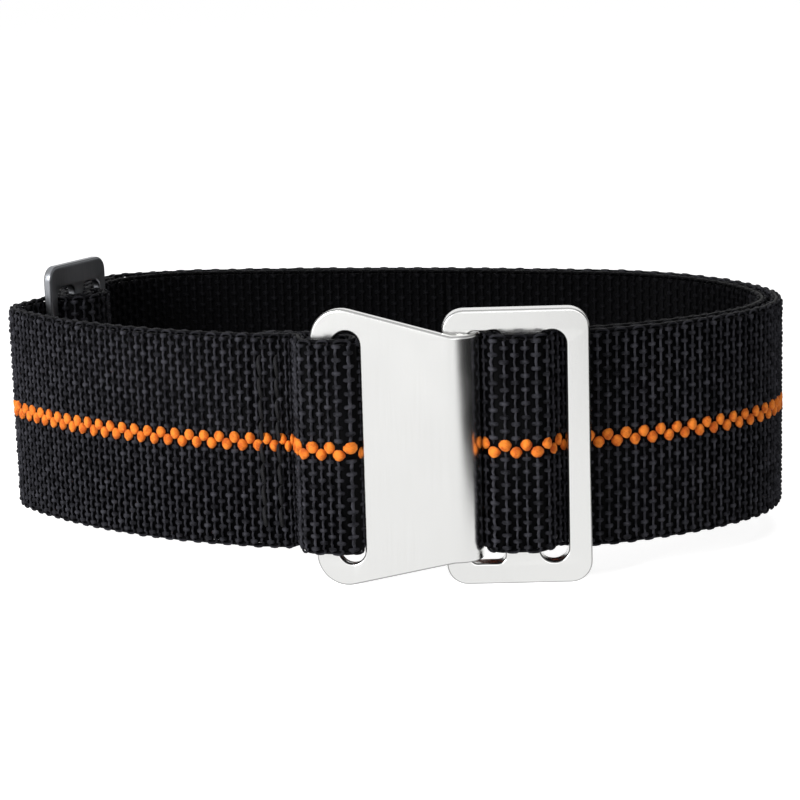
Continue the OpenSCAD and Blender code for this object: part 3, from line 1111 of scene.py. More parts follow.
class PickArray:
    """Geometry nodes that repeat a cell of weave or sewing along a straight line."""

    weld: float = 0.002  # millimetres within which two yarn ends are one

    def __init__(self) -> None:
        """Builds the node tree once."""
        self.tree = bpy.data.node_groups.new("picks_along_band", "GeometryNodeTree")
        face = self.tree.interface
        face.new_socket("Geometry", in_out="OUTPUT", socket_type="NodeSocketGeometry")
        self.sockets = {
            name: face.new_socket(name, in_out="INPUT", socket_type=kind).identifier
            for name, kind in (
                ("Cell", "NodeSocketObject"),
                ("Cells", "NodeSocketInt"),
                ("Cell length", "NodeSocketFloat"),
                ("Unevenness", "NodeSocketFloat"),
                ("Patch size", "NodeSocketFloat"),
                ("Seed", "NodeSocketFloat"),
                ("Material", "NodeSocketMaterial"),
            )
        }
        given = add_node(self.tree, "NodeGroupInput").outputs
        step = add_node(self.tree, "ShaderNodeCombineXYZ", {"X": given["Cell length"]})
        line = add_node(
            self.tree,
            "GeometryNodeMeshLine",
            {"Count": given["Cells"], "Offset": step.outputs["Vector"]},
            mode="OFFSET",
        )
        cell = add_node(self.tree, "GeometryNodeObjectInfo", {"Object": given["Cell"]})
        rows = add_node(
            self.tree,
            "GeometryNodeInstanceOnPoints",
            {"Points": line.outputs["Mesh"], "Instance": cell.outputs["Geometry"]},
        )
        real = add_node(
            self.tree,
            "GeometryNodeRealizeInstances",
            {"Geometry": rows.outputs["Instances"]},
        )
        joined = add_node(
            self.tree,
            "GeometryNodeMergeByDistance",
            {"Geometry": real.outputs["Geometry"], "Distance": self.weld * MM},
        )
        where = add_node(self.tree, "GeometryNodeInputPosition")
        often = add_node(
            self.tree, "ShaderNodeMath", {0: 1.0, 1: given["Patch size"]}, operation="DIVIDE"
        )
        noise = add_node(
            self.tree,
            "ShaderNodeTexNoise",
            {
                "Vector": where.outputs["Position"],
                "W": given["Seed"],
                "Scale": often.outputs["Value"],
                "Detail": 1.0,
            },
            noise_dimensions="4D",
        )
        centred = add_node(
            self.tree,
            "ShaderNodeVectorMath",
            {0: noise.outputs["Color"], 1: (0.5, 0.5, 0.5)},
            operation="SUBTRACT",
        )
        shift = add_node(
            self.tree,
            "ShaderNodeVectorMath",
            {0: centred.outputs["Vector"], "Scale": given["Unevenness"]},
            operation="SCALE",
        )
        moved = add_node(
            self.tree,
            "GeometryNodeSetPosition",
            {"Geometry": joined.outputs["Geometry"], "Offset": shift.outputs["Vector"]},
        )
        done = add_node(
            self.tree,
            "GeometryNodeSetMaterial",
            {"Geometry": moved.outputs["Geometry"], "Material": given["Material"]},
        )
        add_node(self.tree, "NodeGroupOutput", {"Geometry": done.outputs["Geometry"]})

    def repeat(self, name: str, material: bpy.types.Material, **values) -> bpy.types.Mesh:
        """Runs the nodes once and keeps the result as a plain mesh.

        Args:
            name: Name of the mesh.
            material: Its material.
            values: The other inputs, by name with underscores for spaces.

        Returns:
            A mesh that no modifier belongs to.
        """
        holder = make_object(name + "_holder", bpy.data.meshes.new(name + "_holder"))
        modifier = holder.modifiers.new("picks", "NODES")
        modifier.node_group = self.tree
        modifier[self.sockets["Material"]] = material
        for key, value in values.items():
            modifier[self.sockets[key.replace("_", " ")]] = value
        holder.update_tag()
        graph = bpy.context.evaluated_depsgraph_get()
        mesh = bpy.data.meshes.new_from_object(
            holder.evaluated_get(graph), preserve_all_data_layers=True, depsgraph=graph
        )
        mesh.name = name
        bpy.data.objects.remove(holder)
        return mesh


@dataclass(frozen=True)
class Ride:
    """Which body a piece moves with; a piece that lies between two bodies stays where it is."""

    body: str
    towards: Optional[str] = None
    start: Optional[Place] = None
    end: Optional[Place] = None

    def apply(self, thing: bpy.types.Object, height: float) -> None:
        """Ties a finished piece to its body, or leaves one that lies between two bodies where it
        is.

        Args:
            thing: The piece.
            height: Height of the bend's two points above the table; not used.
        """
        if self.towards is None:
            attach(thing, self.body)
            return
        points = [(p.x * MM, p.y * MM, height * MM) for p in (self.start, self.end)]
        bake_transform(thing)


@dataclass(frozen=True)
class Dent:
    """A line across the band where the yarns stand aside."""

    at: float  # distance from the start of its length
    depth: float  # how far they are pulled to the left, or pushed out to the right
    width: float = 0.4
    fill: float = 0.0  # how much thicker the dark rubber threads get there; in a turn this dark fill also stands in for its shade


@dataclass(frozen=True)
class Gather:
    """A length of the band where the picks are pushed closer together."""

    at: float  # distance from the start of its length
    share: float  # how much closer they stand there
    width: float
    shadow: float = 0.0  # how much darker the ground is just past it
    shadow_at: float = 0.8  # how far past it, in widths
    shadow_width: float = 0.5  # in widths as well

    def shades(self, s: np.ndarray) -> np.ndarray:
        """Share of its tone that the ground keeps at each distance."""
        past = (s - self.at - self.shadow_at * self.width) / (self.shadow_width * self.width)
        return 1 - self.shadow * np.exp(-(past**2))

    def drawn_in(self, u: np.ndarray, size: float) -> np.ndarray:
        """Where each share of a length of the given size lies once the picks are pushed."""

        def pushed(v: np.ndarray | float) -> np.ndarray | float:
            """How far the picks are pushed at one share."""
            return np.tanh((v * size - self.at) / self.width)

        pull = self.share * self.width
        first = pushed(0.0)
        return (u - (pushed(u) - first) * pull / size) / (1 - (pushed(1.0) - first) * pull / size)


@dataclass(frozen=True)
class Rise:
    """How far the two edges of a length are pulled up between its ends."""

    top: float
    bottom: float
    start: float  # from either end
    over: float

    def at(self, s: np.ndarray, z: np.ndarray, size: float, edge: float) -> np.ndarray:
        """Height gained at each distance along a length of the given size."""
        inside = np.clip((np.minimum(s, size - s) - self.start) / self.over, 0, 1)
        pull = np.interp(z, [-edge, 0.0, edge], [self.bottom, 0.0, self.top])
        return pull * inside * inside * (3 - 2 * inside)


@dataclass(frozen=True)
class Stretch:
    """One woven length of the band, which follows a run or a part of it."""

    name: str
    run: str  # its run, which the CAD nodes are named for as well
    picks: int
    ride: Ride
    part: tuple[float, float] = (0.0, 1.0)  # from which share of the run to which
    ease: float = 0.0  # how much wider the picks stand at the start than at the end
    shade: float = 1.0  # painted shade: share of the usual tone that it keeps, lower where the length lies in shade
    dents: tuple[Dent, ...] = ()
    gather: Optional[Gather] = None
    rise: Optional[Rise] = None
    stripe_faces: tuple[str, ...] = ("",)  # endings of its tracer nodes' names

    def piece(self, yarns: Yarns) -> str:
        """Name of the piece that some of its yarns make."""
        return f"{'weave' if yarns is Yarns.GROUND else 'stripe'}_{self.name}"

    def stands_for(self, yarns: Yarns) -> tuple[str, ...]:
        """Names of the CAD nodes that this piece stands for."""
        if yarns is Yarns.GROUND:
            return (f"webbing_{self.run}",)
        return tuple(f"tracer_{self.run}{face}" for face in self.stripe_faces)


@dataclass
class WovenBand:
    """The whole band, woven length by length."""

    route: StrapRoute
    weave: Weave = field(default_factory=Weave)
    unevenness: float = 0.15  # how far the yarns stray, in millimetres
    patch: float = 1.4  # millimetres over which they stray alike
    first_seed: float = 3.0
    seed_step: float = 5.0
    pass_blend: float = 3.0  # length over which the slider's hem starts to follow it

    def stretches(self) -> list[Stretch]:
        """All woven lengths, with the bodies that each one follows."""
        runs, gate = self.route.runs, self.route.pass_start
        hem, fold = runs["hook_hem"], runs["frame_fold"]
        back, both = Ride("back_band"), ("_inner", "_outer")
        first_half, second_half = (0.0, 0.5), (0.5, 1.0)
        quarter, three_quarters, end = (
            gate.moved((0, self.route.pass_half * share)) for share in (0.5, 1.5, 2.0)
        )
        right = Ride("back_band", "front_band", runs["right_inner"].end, runs["right_inner"].start)
        left = Ride("back_band", "front_band", runs["left_bend"].start, runs["left_bend"].end)
        front = Ride("front_band", "hook_end", runs["front_run"].start, runs["front_run"].end)
        slid = Ride(
            "back_band", "slider", runs["slider_hem"].start, gate.moved((0, self.pass_blend))
        )
        # shade= paints shade on lengths that lie in shade: the loop's inner faces and the lengths
        # by the slider
        return [
            Stretch(
                "frame_fold",
                "frame_fold",
                picks=22,
                ride=Ride("front_band"),
                dents=(Dent(fold.before(2) + 1.1, depth=-0.36, width=1.3, fill=0.8),),
                rise=Rise(top=0.3, bottom=0.4, start=0.2, over=1.8),
            ),
            Stretch("right_inner", "right_inner", picks=38, ride=right, ease=0.09, shade=0.3),
            Stretch("right_outer", "right_outer", picks=40, ride=right, ease=0.09),
            Stretch(
                "back_inner_right", "back_inner", picks=44, ride=back, part=first_half, shade=0.08
            ),
            Stretch(
                "back_inner_left", "back_inner", picks=44, ride=back, part=second_half, shade=0.08
            ),
            Stretch("back_outer_right", "back_outer", picks=38, ride=back, part=first_half),
            Stretch("back_outer_left", "back_outer", picks=38, ride=back, part=second_half),
            Stretch(
                "slider_pass_near",
                "slider_pass",
                picks=12,
                ride=Ride("back_band", "slider", gate, quarter),
                part=first_half,
                shade=0.6,
            ),
            Stretch(
                "slider_pass_far",
                "slider_pass",
                picks=12,
                ride=Ride("back_band", "slider", end, three_quarters),
                part=second_half,
                shade=0.6,
            ),
            Stretch("slider_hem", "slider_hem", picks=52, ride=slid, shade=0.6),
            Stretch("left_bend", "left_bend", picks=32, ride=left, stripe_faces=both),
            Stretch("front_run", "front_run", picks=14, ride=front, stripe_faces=both),
            Stretch(
                "hook_hem",
                "hook_hem",
                picks=30,
                ride=Ride("hook_end"),
                dents=(
                    Dent(self.route.seam_first, depth=0.05),
                    Dent(self.route.seam_first + self.route.seam_row, depth=0.14),
                    Dent(hem.before(6) + 0.2, depth=-0.32, width=1.1, fill=0.7),
                ),
                gather=Gather(3.9, share=0.35, width=1.2, shadow=0.5),
                rise=Rise(top=0.1, bottom=0.4, start=3.0, over=1.8),
            ),
        ]

    def build(self) -> list[bpy.types.Object]:
        """Weaves every length and returns the pieces."""
        nodes = PickArray()
        looks = {Yarns.GROUND: BLACK_NYLON, Yarns.TRACER: ORANGE_NYLON}
        materials = {yarns: finish.material() for yarns, finish in looks.items()}
        made = []
        for number, stretch in enumerate(self.stretches()):
            run = self.route.runs[stretch.run]
            size = run.length * (stretch.part[1] - stretch.part[0])
            pick = size / stretch.picks
            LOG.info("%s: a pick every %.2f mm", stretch.name, pick)
            for yarns, finish in looks.items():
                cell = self.weave.cell(yarns, pick)
                mesh = nodes.repeat(
                    stretch.piece(yarns),
                    materials[yarns],
                    Cell=cell,
                    Cells=stretch.picks // 2,
                    Cell_length=2 * pick * MM,
                    Unevenness=self.unevenness * MM,
                    Patch_size=self.patch * MM,
                    Seed=self.first_seed + self.seed_step * number,
                )
                discard(cell)
                inner = self._paint_shade(mesh, stretch, yarns)
                self._lay(mesh, stretch, run, size, inner)
                thing = make_object(stretch.piece(yarns), mesh)
                close_ends(thing)
                stretch.ride.apply(thing, self.route.band_mid)
                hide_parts(*stretch.stands_for(yarns))
                made.append(thing)
        return made

    def _paint_shade(self, mesh: bpy.types.Mesh, stretch: Stretch, yarns: Yarns) -> np.ndarray:
        """Paints shade into the yarns' tone: a darker share where the length lies in shade, and the
        shadow past a gather.

        Args:
            mesh: The flat weave.
            stretch: Its length of the band.
            yarns: Which yarns it holds.

        Returns:
            Which of its points are on the rubber threads.
        """
        values = mesh.attributes["tone"].data
        tones = np.zeros(len(mesh.vertices), np.float32)
        values.foreach_get("value", tones)
        shades = np.full(len(tones), stretch.shade, np.float32)
        if stretch.gather is not None and yarns is Yarns.GROUND:
            shades = shades * stretch.gather.shades(positions(mesh)[:, 0] / MM)
        values.foreach_set("value", (tones * shades).astype(np.float32))
        return np.abs(tones - self.weave.core_tone) < SAME_TONE

    def _lay(
        self, mesh: bpy.types.Mesh, stretch: Stretch, run: Run, size: float, inner: np.ndarray
    ) -> None:
        """Draws the yarns in at the seams, then bends the flat weave along its run.

        Args:
            mesh: The flat weave.
            stretch: Its length of the band.
            run: The run that it follows.
            size: How much of the run it covers.
            inner: Which of its points are on the rubber threads.
        """
        offset = stretch.part[0] * run.length
        co = positions(mesh)
        for dent in stretch.dents:
            near = np.exp(-(((co[:, 0] / MM - dent.at) / dent.width) ** 2))
            # the dark rubber threads swell, filling the turn with dark that stands in for its shade
            co[:, 1] *= 1 + dent.fill * near * inner
            co[:, 1] += near * dent.depth * MM
        if stretch.rise is not None:
            edge = self.weave.edge_z
            co[:, 2] += stretch.rise.at(co[:, 0] / MM, co[:, 2] / MM, size, edge) * MM
        mesh.vertices.foreach_set("co", co.ravel())

        def reach(s: np.ndarray) -> np.ndarray:
            """Spaces the picks wider at the start, and closer where they are gathered."""
            u = s / size
            if stretch.gather is not None:
                u = stretch.gather.drawn_in(u, size)
            return offset + size * (u + stretch.ease * u * (1 - u))

        bend_along(mesh, run, self.route.band_mid, reach)


def close_ends(thing: bpy.types.Object, sides: int = 8) -> None:
    """Closes the cut ends of every yarn, of up to so many sides, with flat caps."""
    bm = bmesh.new()
    bm.from_mesh(thing.data)
    rim = [e for e in bm.edges if e.is_boundary]
    bmesh.ops.holes_fill(bm, edges=rim, sides=sides)
    bm.to_mesh(thing.data)
    bm.free()


# Metal parts


def corner_points(
    x: float, y: float, r: float, start: float, stop: float, steps: int = 9
) -> Points:
    """Points on an arc round a corner's centre, in degrees."""
    angles = [math.radians(start + (stop - start) * k / steps) for k in range(steps + 1)]
    return [(x + r * math.cos(a), y + r * math.sin(a)) for a in angles]


def rounded_box(x: float, y: float, w: float, h: float, r: float) -> Points:
    """Outline of a rectangle with round corners, anticlockwise.

    Args:
        x: Middle of the rectangle.
        y: Middle of the rectangle.
        w: Width.
        h: Height.
        r: Radius of the corners, at most half the width.

    Returns:
        Its points.
    """
    dx, dy = w / 2 - r, h / 2 - r
    corners = ((dx, -dy, -90), (dx, dy, 0), (-dx, dy, 90), (-dx, -dy, 180))
    points: Points = []
    for cx, cy, a in corners:
        for point in corner_points(x + cx, y + cy, r, a, a + 90):
            if not points or math.dist(point, points[-1]) > SAME:
                points.append(point)
    if math.dist(points[0], points[-1]) < SAME:
        points.pop()
    return points


def inset(points: Points, d: float) -> Points:
    """Moves a closed anticlockwise outline inwards by d, corner by corner.

    Args:
        points: The outline.
        d: How far inwards, or outwards where it is negative.

    Returns:
        As many points again.
    """
    p = np.array(points)
    before, after = p - np.roll(p, 1, 0), np.roll(p, -1, 0) - p
    n0 = np.c_[-before[:, 1], before[:, 0]] / np.linalg.norm(before, axis=1)[:, None]
    n1 = np.c_[-after[:, 1], after[:, 0]] / np.linalg.norm(after, axis=1)[:, None]
    mitre = (n0 + n1) / (1 + (n0 * n1).sum(1))[:, None]
    return [tuple(q) for q in p + d * mitre]


@dataclass(frozen=True)
class Plate:
    """Flat plate with holes, its edges rolled all round."""

    outline: Points
    holes: tuple[Points, ...]
    thick: float
    edge: float
    steps: int = 5
    reflection_band: tuple[float, float] = (0.1, 0.8)  # shares of the edge's height that get the painted dark reflection

    def build(self) -> bmesh.types.BMesh:
        """Builds the plate along x and z, with y through its thickness, in metres."""
        bm = bmesh.new()
        rim = bm.verts.layers.float.new("rim")
        loops = [self.outline, *self.holes]
        half, edge = self.thick / 2, self.edge
        levels = [math.radians(90 - 90 * k / self.steps) for k in range(self.steps + 1)]
        profile = [(edge * (1 - math.cos(a)), half - edge * (1 - math.sin(a))) for a in levels]
        profile += [(d, -h) for d, h in reversed(profile)]
        low_reflection, high_reflection = (share * edge for share in self.reflection_band)
        faces = {1: [], -1: []}
        for number, loop in enumerate(loops):
            sign = 1 if number == 0 else -1
            rings = []
            for d, h in profile:
                ring = [bm.verts.new((x * MM, -h * MM, z * MM)) for x, z in inset(loop, sign * d)]
                for vert in ring:
                    # the rim attribute marks the band of painted dark reflection
                    vert[rim] = 1.0 if low_reflection < half - abs(h) < high_reflection else 0.0
                rings.append(ring)
            count = len(loop)
            for low, high in zip(rings, rings[1:]):
                for k in range(count):
                    n = (k + 1) % count
                    quad = (low[k], high[k], high[n], low[n])
                    bm.faces.new(quad if sign == 1 else quad[::-1])
            faces[1].append(rings[0])
            faces[-1].append(rings[-1])
        for side, rings in faces.items():
            flat = [v for ring in rings for v in ring]
            shape = [[Vector((v.co.x, v.co.z, 0)) for v in ring] for ring in rings]
            for a, b, c in tessellate_polygon(shape):
                one, two = flat[b].co - flat[a].co, flat[c].co - flat[a].co
                facing = -(one.cross(two)).y
                order = (a, b, c) if facing * side > 0 else (a, c, b)
                if abs(facing) > NO_AREA:
                    bm.faces.new([flat[i] for i in order])
        return bm


def finish_plate(
    name: str, bm: bmesh.types.BMesh, finish: MetalFinish, body: str, node: str
) -> bpy.types.Object:
    """Turns a plate into a dressed piece that stands for its CAD node.

    Args:
        name: Name of the piece.
        bm: Its mesh, in place.
        finish: Its metal.
        body: The body that it rides on.
        node: The CAD node that it stands for.

    Returns:
        The piece.
    """
    mesh = bpy.data.meshes.new(name)
    bm.to_mesh(mesh)
    bm.free()
    mesh.shade_smooth()
    mesh.materials.append(finish.material())
    thing = make_object(name, mesh)
    soft = thing.modifiers.new("even_normals", "WEIGHTED_NORMAL")
    soft.keep_sharp = False
    soft.weight = 100
    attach(thing, body)
    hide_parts(node)
    return thing


@dataclass
class ReceiverFrame:
    """Upright frame with a slot for the hook and a slot for the fold."""

    route: StrapRoute
    height: float = 24.9
    corner: float = 1.9
    slot_h: float = 21.1
    hook_slot_r: float = 0.7
    roll: float = 0.2

    def build(self) -> bpy.types.Object:
        """Builds and dresses the frame."""
        r = self.route
        mid = self.height / 2
        width = r.frame_x1 - r.frame_x0
        middle_x = (r.frame_x0 + r.frame_x1) / 2
        hook_x = -r.frame_centre_bar / 2 - r.frame_hook_slot / 2
        fold_x = r.frame_centre_bar / 2 + r.frame_fold_slot / 2
        fold_r = r.frame_fold_slot / 2
        plate = Plate(
            rounded_box(middle_x, mid, width, self.height, self.corner),
            (
                rounded_box(hook_x, mid, r.frame_hook_slot, self.slot_h, self.hook_slot_r),
                rounded_box(fold_x, mid, r.frame_fold_slot, self.slot_h, fold_r),
            ),
            r.frame_t,
            self.roll,
        )
        return finish_plate(
            "frame_rolled", plate.build(), BLASTED_STEEL, "front_band", "receiver_frame"
        )


@dataclass
class HookPlate:
    """Sheet plate with the hem's slot, bent into a J round the frame's bar."""

    route: StrapRoute
    height: float = 25.2
    neck: float = 20.5
    corner: float = 2.8
    slot_w: float = 2.4
    slot_h: float = 21.1
    lip: float = 0.9
    lip_corner: float = 1.1
    edge: float = 0.25
    bend_step: float = 6.0  # degrees between two cuts of the bend
    flat_cut: float = 0.55  # share of the flat at which it is cut once more
    corner_steps: int = 12

    def outline(self) -> Points:
        """The flat pattern: distance from the far edge along x, height along y."""
        half, neck = self.height / 2, self.neck / 2
        flat = self.route.hook_flat
        x0 = self.corner
        taper = math.degrees(math.atan2(half - neck, flat - x0))
        z0 = half - self.corner
        a = math.radians(taper)
        neck_x = x0 + (z0 + self.corner / math.cos(a) - neck) / math.tan(a)
        bend = math.pi * (self.route.hook_bend_r + self.route.hook_t / 2)
        end = flat + bend + self.lip + self.route.hook_t / 2
        r = self.lip_corner
        return [
            *corner_points(x0, -z0, self.corner, -180, taper - 90, self.corner_steps),
            (neck_x, -neck),
            *corner_points(end - r, -neck + r, r, -90, 0),
            *corner_points(end - r, neck - r, r, 0, 90),
            (neck_x, neck),
            *corner_points(x0, z0, self.corner, 90 - taper, 180, self.corner_steps),
        ]

    def build(self) -> bpy.types.Object:
        """Builds the flat plate, bends it and dresses it."""
        r = self.route
        slot_x = r.hook_bar + self.slot_w / 2
        hole = rounded_box(slot_x, 0, self.slot_w, self.slot_h, self.slot_w / 2)
        bm = Plate(self.outline(), (hole,), r.hook_t, self.edge).build()
        bend_r = r.hook_bend_r + r.hook_t / 2
        steps = int(180 / self.bend_step)
        cuts = [r.hook_flat + bend_r * math.radians(self.bend_step) * k for k in range(steps + 1)]
        for s in [r.hook_flat * self.flat_cut, *cuts]:
            everything = [*bm.verts, *bm.edges, *bm.faces]
            bmesh.ops.bisect_plane(
                bm, geom=everything, dist=SAME_CUT, plane_co=(s * MM, 0, 0), plane_no=(1, 0, 0)
            )
        far_edge = r.hook_at.local(Place(-r.hook_flat, r.hook_mid, 0))
        run = Run(far_edge, ((0, r.hook_flat), (bend_r, 180)))
        co = np.array([v.co[:] for v in bm.verts]) / MM
        x, y, h = run.at(co[:, 0])
        z = self.height / 2 + co[:, 2]
        bent = np.c_[x - co[:, 1] * np.sin(h), y + co[:, 1] * np.cos(h), z] * MM
        for vert, place in zip(bm.verts, bent):
            vert.co = place
        return finish_plate("hook_bent", bm, BLASTED_STEEL, "hook_end", "hook_plate")


@dataclass
class SliderBuckle:
    """Three-bar slider that sets the length of the loop."""

    route: StrapRoute
    height: float = 25.7
    corner: float = 1.4
    slot_h: float = 21.1
    slot_r: float = 0.8
    edge: float = 0.2

    def build(self) -> bpy.types.Object:
        """Builds the flat plate, stands it in its place and dresses it."""
        r = self.route
        mid = self.height / 2
        dx = (r.slider_centre_bar + r.slider_slot) / 2
        plate = Plate(
            rounded_box(0, mid, r.slider_w, self.height, self.corner),
            tuple(rounded_box(x, mid, r.slider_slot, self.slot_h, self.slot_r) for x in (-dx, dx)),
            r.slider_t,
            self.edge,
        )
        bm = plate.build()
        a = math.radians(r.slider_at.heading)
        where = r.slider_at.beside(-r.slider_mid)
        bm.transform(
            Matrix.Translation((where.x * MM, where.y * MM, 0)) @ Matrix.Rotation(a, 4, "Z")
        )
        return finish_plate("slider_plated", bm, DARK_PLATED, "slider", "slider_buckle")


# The sewing


@dataclass
class HemStitching:
    """Two upright rows of lock stitch that hold a hem."""

    name: str
    node: str
    body: str
    line: Run
    first: float  # where along its line the first row stands
    faces: tuple[float, float]  # how far to the left either face of the hem lies
    mid: float  # height of the rows' middle
    row_gap: float
    stitches: int = 8
    free: float = 4.0  # height that both ends leave bare
    width: float = 20.0
    thread: float = 0.32
    spread: tuple[float, float] = (0.56, 0.46)  # half width and thickness, in threads
    hole: float = 0.04  # share of a stitch that is bare at either end
    square: float = 0.45  # below 1, a stitch rises steeply out of its holes
    sunk: float = 0.5  # how far its ends go under the face
    crown: float = 0.56  # how far its middle rises from there
    twist: float = 0.05  # how far it sways from its row
    rings: int = 9
    sides: int = 8
    tone: float = 0.5
    unevenness: float = 0.12  # how far the thread strays, in millimetres
    patch: float = 2.0  # millimetres over which it strays alike
    first_seed: float = 41.0

    def cell(self, step: float) -> bpy.types.Object:
        """One stitch on each face, standing along x.

        Args:
            step: Length of a stitch.

        Returns:
            The object that the nodes repeat.
        """
        tubes = TubeSet()
        wide, thick = self.spread
        t = np.linspace(0, 1, self.rings)
        along = (self.hole + (1 - 2 * self.hole) * t) * step
        lift = self.crown * np.sin(math.pi * t) ** self.square - self.sunk
        aside = self.twist * np.sin(2 * math.pi * t)
        for face in self.faces:
            out = 1 if face > sum(self.faces) / 2 else -1
            line = np.c_[along, face + out * lift, aside]
            ends = np.r_[line[:1] * 2 - line[1:2], line, line[-1:] * 2 - line[-2:-1]]
            ahead = ends[2:] - ends[:-2]
            ahead = ahead / np.linalg.norm(ahead, axis=1)[:, None]
            across = np.tile([0.0, 0.0, -self.thread * wide], (self.rings, 1))
            up = np.c_[-ahead[:, 1], ahead[:, 0], np.zeros(self.rings)] * self.thread * thick
            tubes.add(line, across, up, self.sides, self.tone, caps=True)
        return make_object("cell_stitch", tubes.mesh("cell_stitch"))

    def build(self, nodes: PickArray) -> bpy.types.Object:
        """Repeats the stitch up both rows and bends them along their line.

        Args:
            nodes: The tree that repeats a cell.

        Returns:
            The piece.
        """
        material = BLACK_THREAD.material()
        step = (self.width - self.free) / self.stitches
        cell = self.cell(step)
        bm = bmesh.new()
        for row in range(2):
            mesh = nodes.repeat(
                self.name,
                material,
                Cell=cell,
                Cells=self.stitches,
                Cell_length=step * MM,
                Unevenness=self.unevenness * MM,
                Patch_size=self.patch * MM,
                Seed=self.first_seed + row,
            )
            co = positions(mesh)
            along = co[:, 2] + (self.first + row * self.row_gap) * MM
            height = co[:, 0] - step * self.stitches / 2 * MM
            mesh.vertices.foreach_set("co", np.c_[along, co[:, 1], height].ravel())
            mesh.flip_normals()  # because two axes have changed places
            bm.from_mesh(mesh)
        discard(cell)
        whole = bpy.data.meshes.new(self.name)
        bm.to_mesh(whole)
        bm.free()
        whole.materials.append(material)
        bend_along(whole, self.line, self.mid, lambda s: s)
        whole.shade_smooth()
        thing = make_object(self.name, whole)
        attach(thing, self.body)
        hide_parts(self.node)
        return thing


# The studio


@dataclass(frozen=True)
class Softbox:
    """A square soft lamp that looks at the strap."""

    name: str
    place: tuple[float, float, float]
    size: float
    power: float

    def build(self, target: Vector) -> None:
        """Hangs the lamp and turns it to the target, which is in metres."""
        data = bpy.data.lights.new(self.name, "AREA")
        data.size = self.size * MM
        data.energy = self.power
        lamp = bpy.data.objects.new(self.name, data)
        lamp.location = Vector(self.place) * MM
        lamp.rotation_euler = (target - lamp.location).to_track_quat("-Z", "Y").to_euler()
        bpy.context.scene.collection.objects.link(lamp)


@dataclass(frozen=True)
class FallOff:
    """White that metal mirrors, weaker towards the right."""

    axes: str  # the output of Texture Coordinate that it follows
    start: float
    stop: float
    left: float
    right: float

    def strength(self, tree: bpy.types.NodeTree) -> bpy.types.NodeSocket:
        """Adds its nodes and returns the output with the strength."""
        place = add_node(tree, "ShaderNodeTexCoord")
        axes = add_node(tree, "ShaderNodeSeparateXYZ", {"Vector": place.outputs[self.axes]})
        fall = add_node(
            tree,
            "ShaderNodeMapRange",
            {
                "Value": axes.outputs["X"],
                "From Min": self.start,
                "From Max": self.stop,
                "To Min": self.left,
                "To Max": self.right,
            },
        )
        return fall.outputs["Result"]


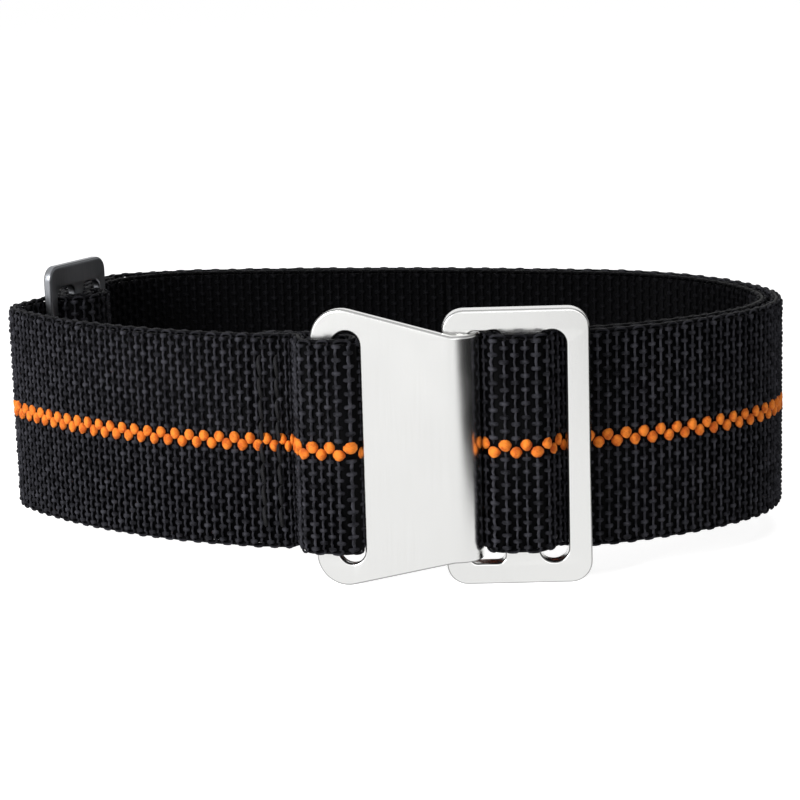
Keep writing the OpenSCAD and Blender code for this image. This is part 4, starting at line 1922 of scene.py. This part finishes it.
@dataclass
class Studio:
    """Plain white table, soft light and the photograph's viewpoint."""

    target: tuple[float, float, float] = (-11.1, 19.2, 9.0)
    elevation: float = 11.96
    azimuth: float = -1.05
    distance: float = 235.9
    focal_px: float = 2425.0  # focal length in the photograph's pixels
    roll: float = 1.62
    centre_y: float = 441.9  # pixel row at which the lens points
    frame_px: float = 800.0  # pixels along the picture's side
    sensor: float = 36.0
    clip: tuple[float, float] = (0.01, 20.0)  # metres
    table_half: float = 4.0  # metres
    table_colour: str = "#F4F4F4"
    table_glow: float = 0.78  # what the camera sees on top of the lit table
    table_mirrored: FallOff = FallOff("Object", start=0.022, stop=0.038, left=1.08, right=0.0)
    even_light: float = 0.24
    backdrop: float = 1.0
    room_mirrored: FallOff = FallOff("Generated", start=0.3, stop=0.7, left=1.0, right=0.6)
    lamps: tuple[Softbox, ...] = (
        Softbox("key_softbox", (-290, -240, 160), size=200, power=1.6),
        Softbox("fill_softbox", (90, -380, 110), size=240, power=0.15),
        Softbox("top_softbox", (0, -60, 420), size=420, power=0.4),
    )

    def camera(self) -> None:
        """Makes the camera at the photograph's place."""
        data = bpy.data.cameras.new("camera")
        data.sensor_width = self.sensor
        data.lens = self.focal_px / self.frame_px * self.sensor
        data.shift_y = (self.centre_y - self.frame_px / 2) / self.frame_px
        data.clip_start, data.clip_end = self.clip
        e, a = math.radians(self.elevation), math.radians(self.azimuth)
        ahead = Vector((math.sin(a) * math.cos(e), math.cos(a) * math.cos(e), -math.sin(e)))
        tilt = Matrix.Rotation(math.radians(-self.roll), 3, "Z")
        camera = bpy.data.objects.new("camera", data)
        camera.location = (Vector(self.target) - ahead * self.distance) * MM
        camera.rotation_euler = (ahead.to_track_quat("-Z", "Y").to_matrix() @ tilt).to_euler()
        bpy.context.scene.collection.objects.link(camera)
        bpy.context.scene.camera = camera

    def floor(self) -> None:
        """Makes the pale table top that the strap stands on."""
        mesh = bpy.data.meshes.new("table_top")
        far = self.table_half
        square = [(-far, -far, 0), (far, -far, 0), (far, far, 0), (-far, far, 0)]
        mesh.from_pydata(square, [], [(0, 1, 2, 3)])
        material, tree, out = new_material("table_white_matt")
        rays = add_node(tree, "ShaderNodeLightPath")
        matt = add_node(tree, "ShaderNodeBsdfDiffuse", {"Color": linear(self.table_colour)})
        glow = add_node(
            tree, "ShaderNodeEmission", {"Color": linear("#FFFFFF"), "Strength": self.table_glow}
        )
        both = add_node(
            tree, "ShaderNodeAddShader", {0: matt.outputs["BSDF"], 1: glow.outputs["Emission"]}
        )
        direct = add_node(
            tree,
            "ShaderNodeMixShader",
            {0: rays.outputs["Is Camera Ray"], 1: matt.outputs["BSDF"], 2: both.outputs["Shader"]},
        )
        mirrored = add_node(
            tree,
            "ShaderNodeEmission",
            {"Color": linear("#FFFFFF"), "Strength": self.table_mirrored.strength(tree)},
        )
        mixed = add_node(
            tree,
            "ShaderNodeMixShader",
            {
                0: rays.outputs["Is Glossy Ray"],
                1: direct.outputs["Shader"],
                2: mirrored.outputs["Emission"],
            },
        )
        tree.links.new(mixed.outputs["Shader"], out.inputs["Surface"])
        mesh.materials.append(material)
        floor = make_object("table_top", mesh)
        floor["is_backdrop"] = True

    def light(self) -> None:
        """Sets the even light of the room and the soft lamps."""
        world = bpy.data.worlds.new("studio")
        bpy.context.scene.world = world
        world.use_nodes = True
        tree = world.node_tree
        tree.nodes.clear()
        out = tree.nodes.new("ShaderNodeOutputWorld")
        rays = add_node(tree, "ShaderNodeLightPath")
        even, white, room = (
            add_node(
                tree,
                "ShaderNodeBackground",
                {"Color": linear("#FFFFFF"), "Strength": strength},
            ).outputs["Background"]
            for strength in (self.even_light, self.backdrop, self.room_mirrored.strength(tree))
        )
        seen = add_node(
            tree, "ShaderNodeMixShader", {0: rays.outputs["Is Camera Ray"], 1: even, 2: white}
        )
        mixed = add_node(
            tree,
            "ShaderNodeMixShader",
            {0: rays.outputs["Is Glossy Ray"], 1: seen.outputs["Shader"], 2: room},
        )
        tree.links.new(mixed.outputs["Shader"], out.inputs["Surface"])
        for lamp in self.lamps:
            lamp.build(Vector(self.target) * MM)

    def build(self) -> None:
        """Sets up camera, table and light, and the plain view transform."""
        self.camera()
        self.floor()
        self.light()
        bpy.context.scene.view_settings.view_transform = "Standard"


# The whole strap


def corners(box: tuple[Vector, Vector]) -> list[list[float]]:
    """A box as plain lists of numbers."""
    return [[float(c) for c in corner] for corner in box]


def main() -> None:
    """Builds every piece in order."""
    logging.basicConfig(level=logging.INFO, format="%(name)s: %(message)s")
    route = StrapRoute()
    Studio().build()
    pieces = WovenBand(route).build()
    for metal in (ReceiverFrame, HookPlate, SliderBuckle):
        pieces.append(metal(route).build())
    beside_slider = Place(-route.slider_w / 2 - route.seam_from_slider, 0, 0)
    hems = (
        HemStitching(
            "thread_hook_hem",
            "stitching_hook_hem",
            "hook_end",
            route.runs["hook_hem"],
            first=route.seam_first,
            faces=route.hook_seam,
            mid=route.band_mid,
            row_gap=route.seam_row,
        ),
        HemStitching(
            "thread_slider_hem",
            "stitching_slider_hem",
            "slider",
            Run(route.slider_at.local(beside_slider), ((0, route.seam_line),)),
            first=0.0,
            faces=route.slider_seam,
            mid=route.band_mid,
            row_gap=route.seam_row,
        ),
    )
    nodes = PickArray()
    pieces += [hem.build(nodes) for hem in hems]
    for piece in pieces:
        LOG.info("%s: %d polygons", piece.name, len(piece.data.polygons))
    {"cad": corners(CAD_BOX), "visual": corners(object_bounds())}


if __name__ == "__main__":
    main()
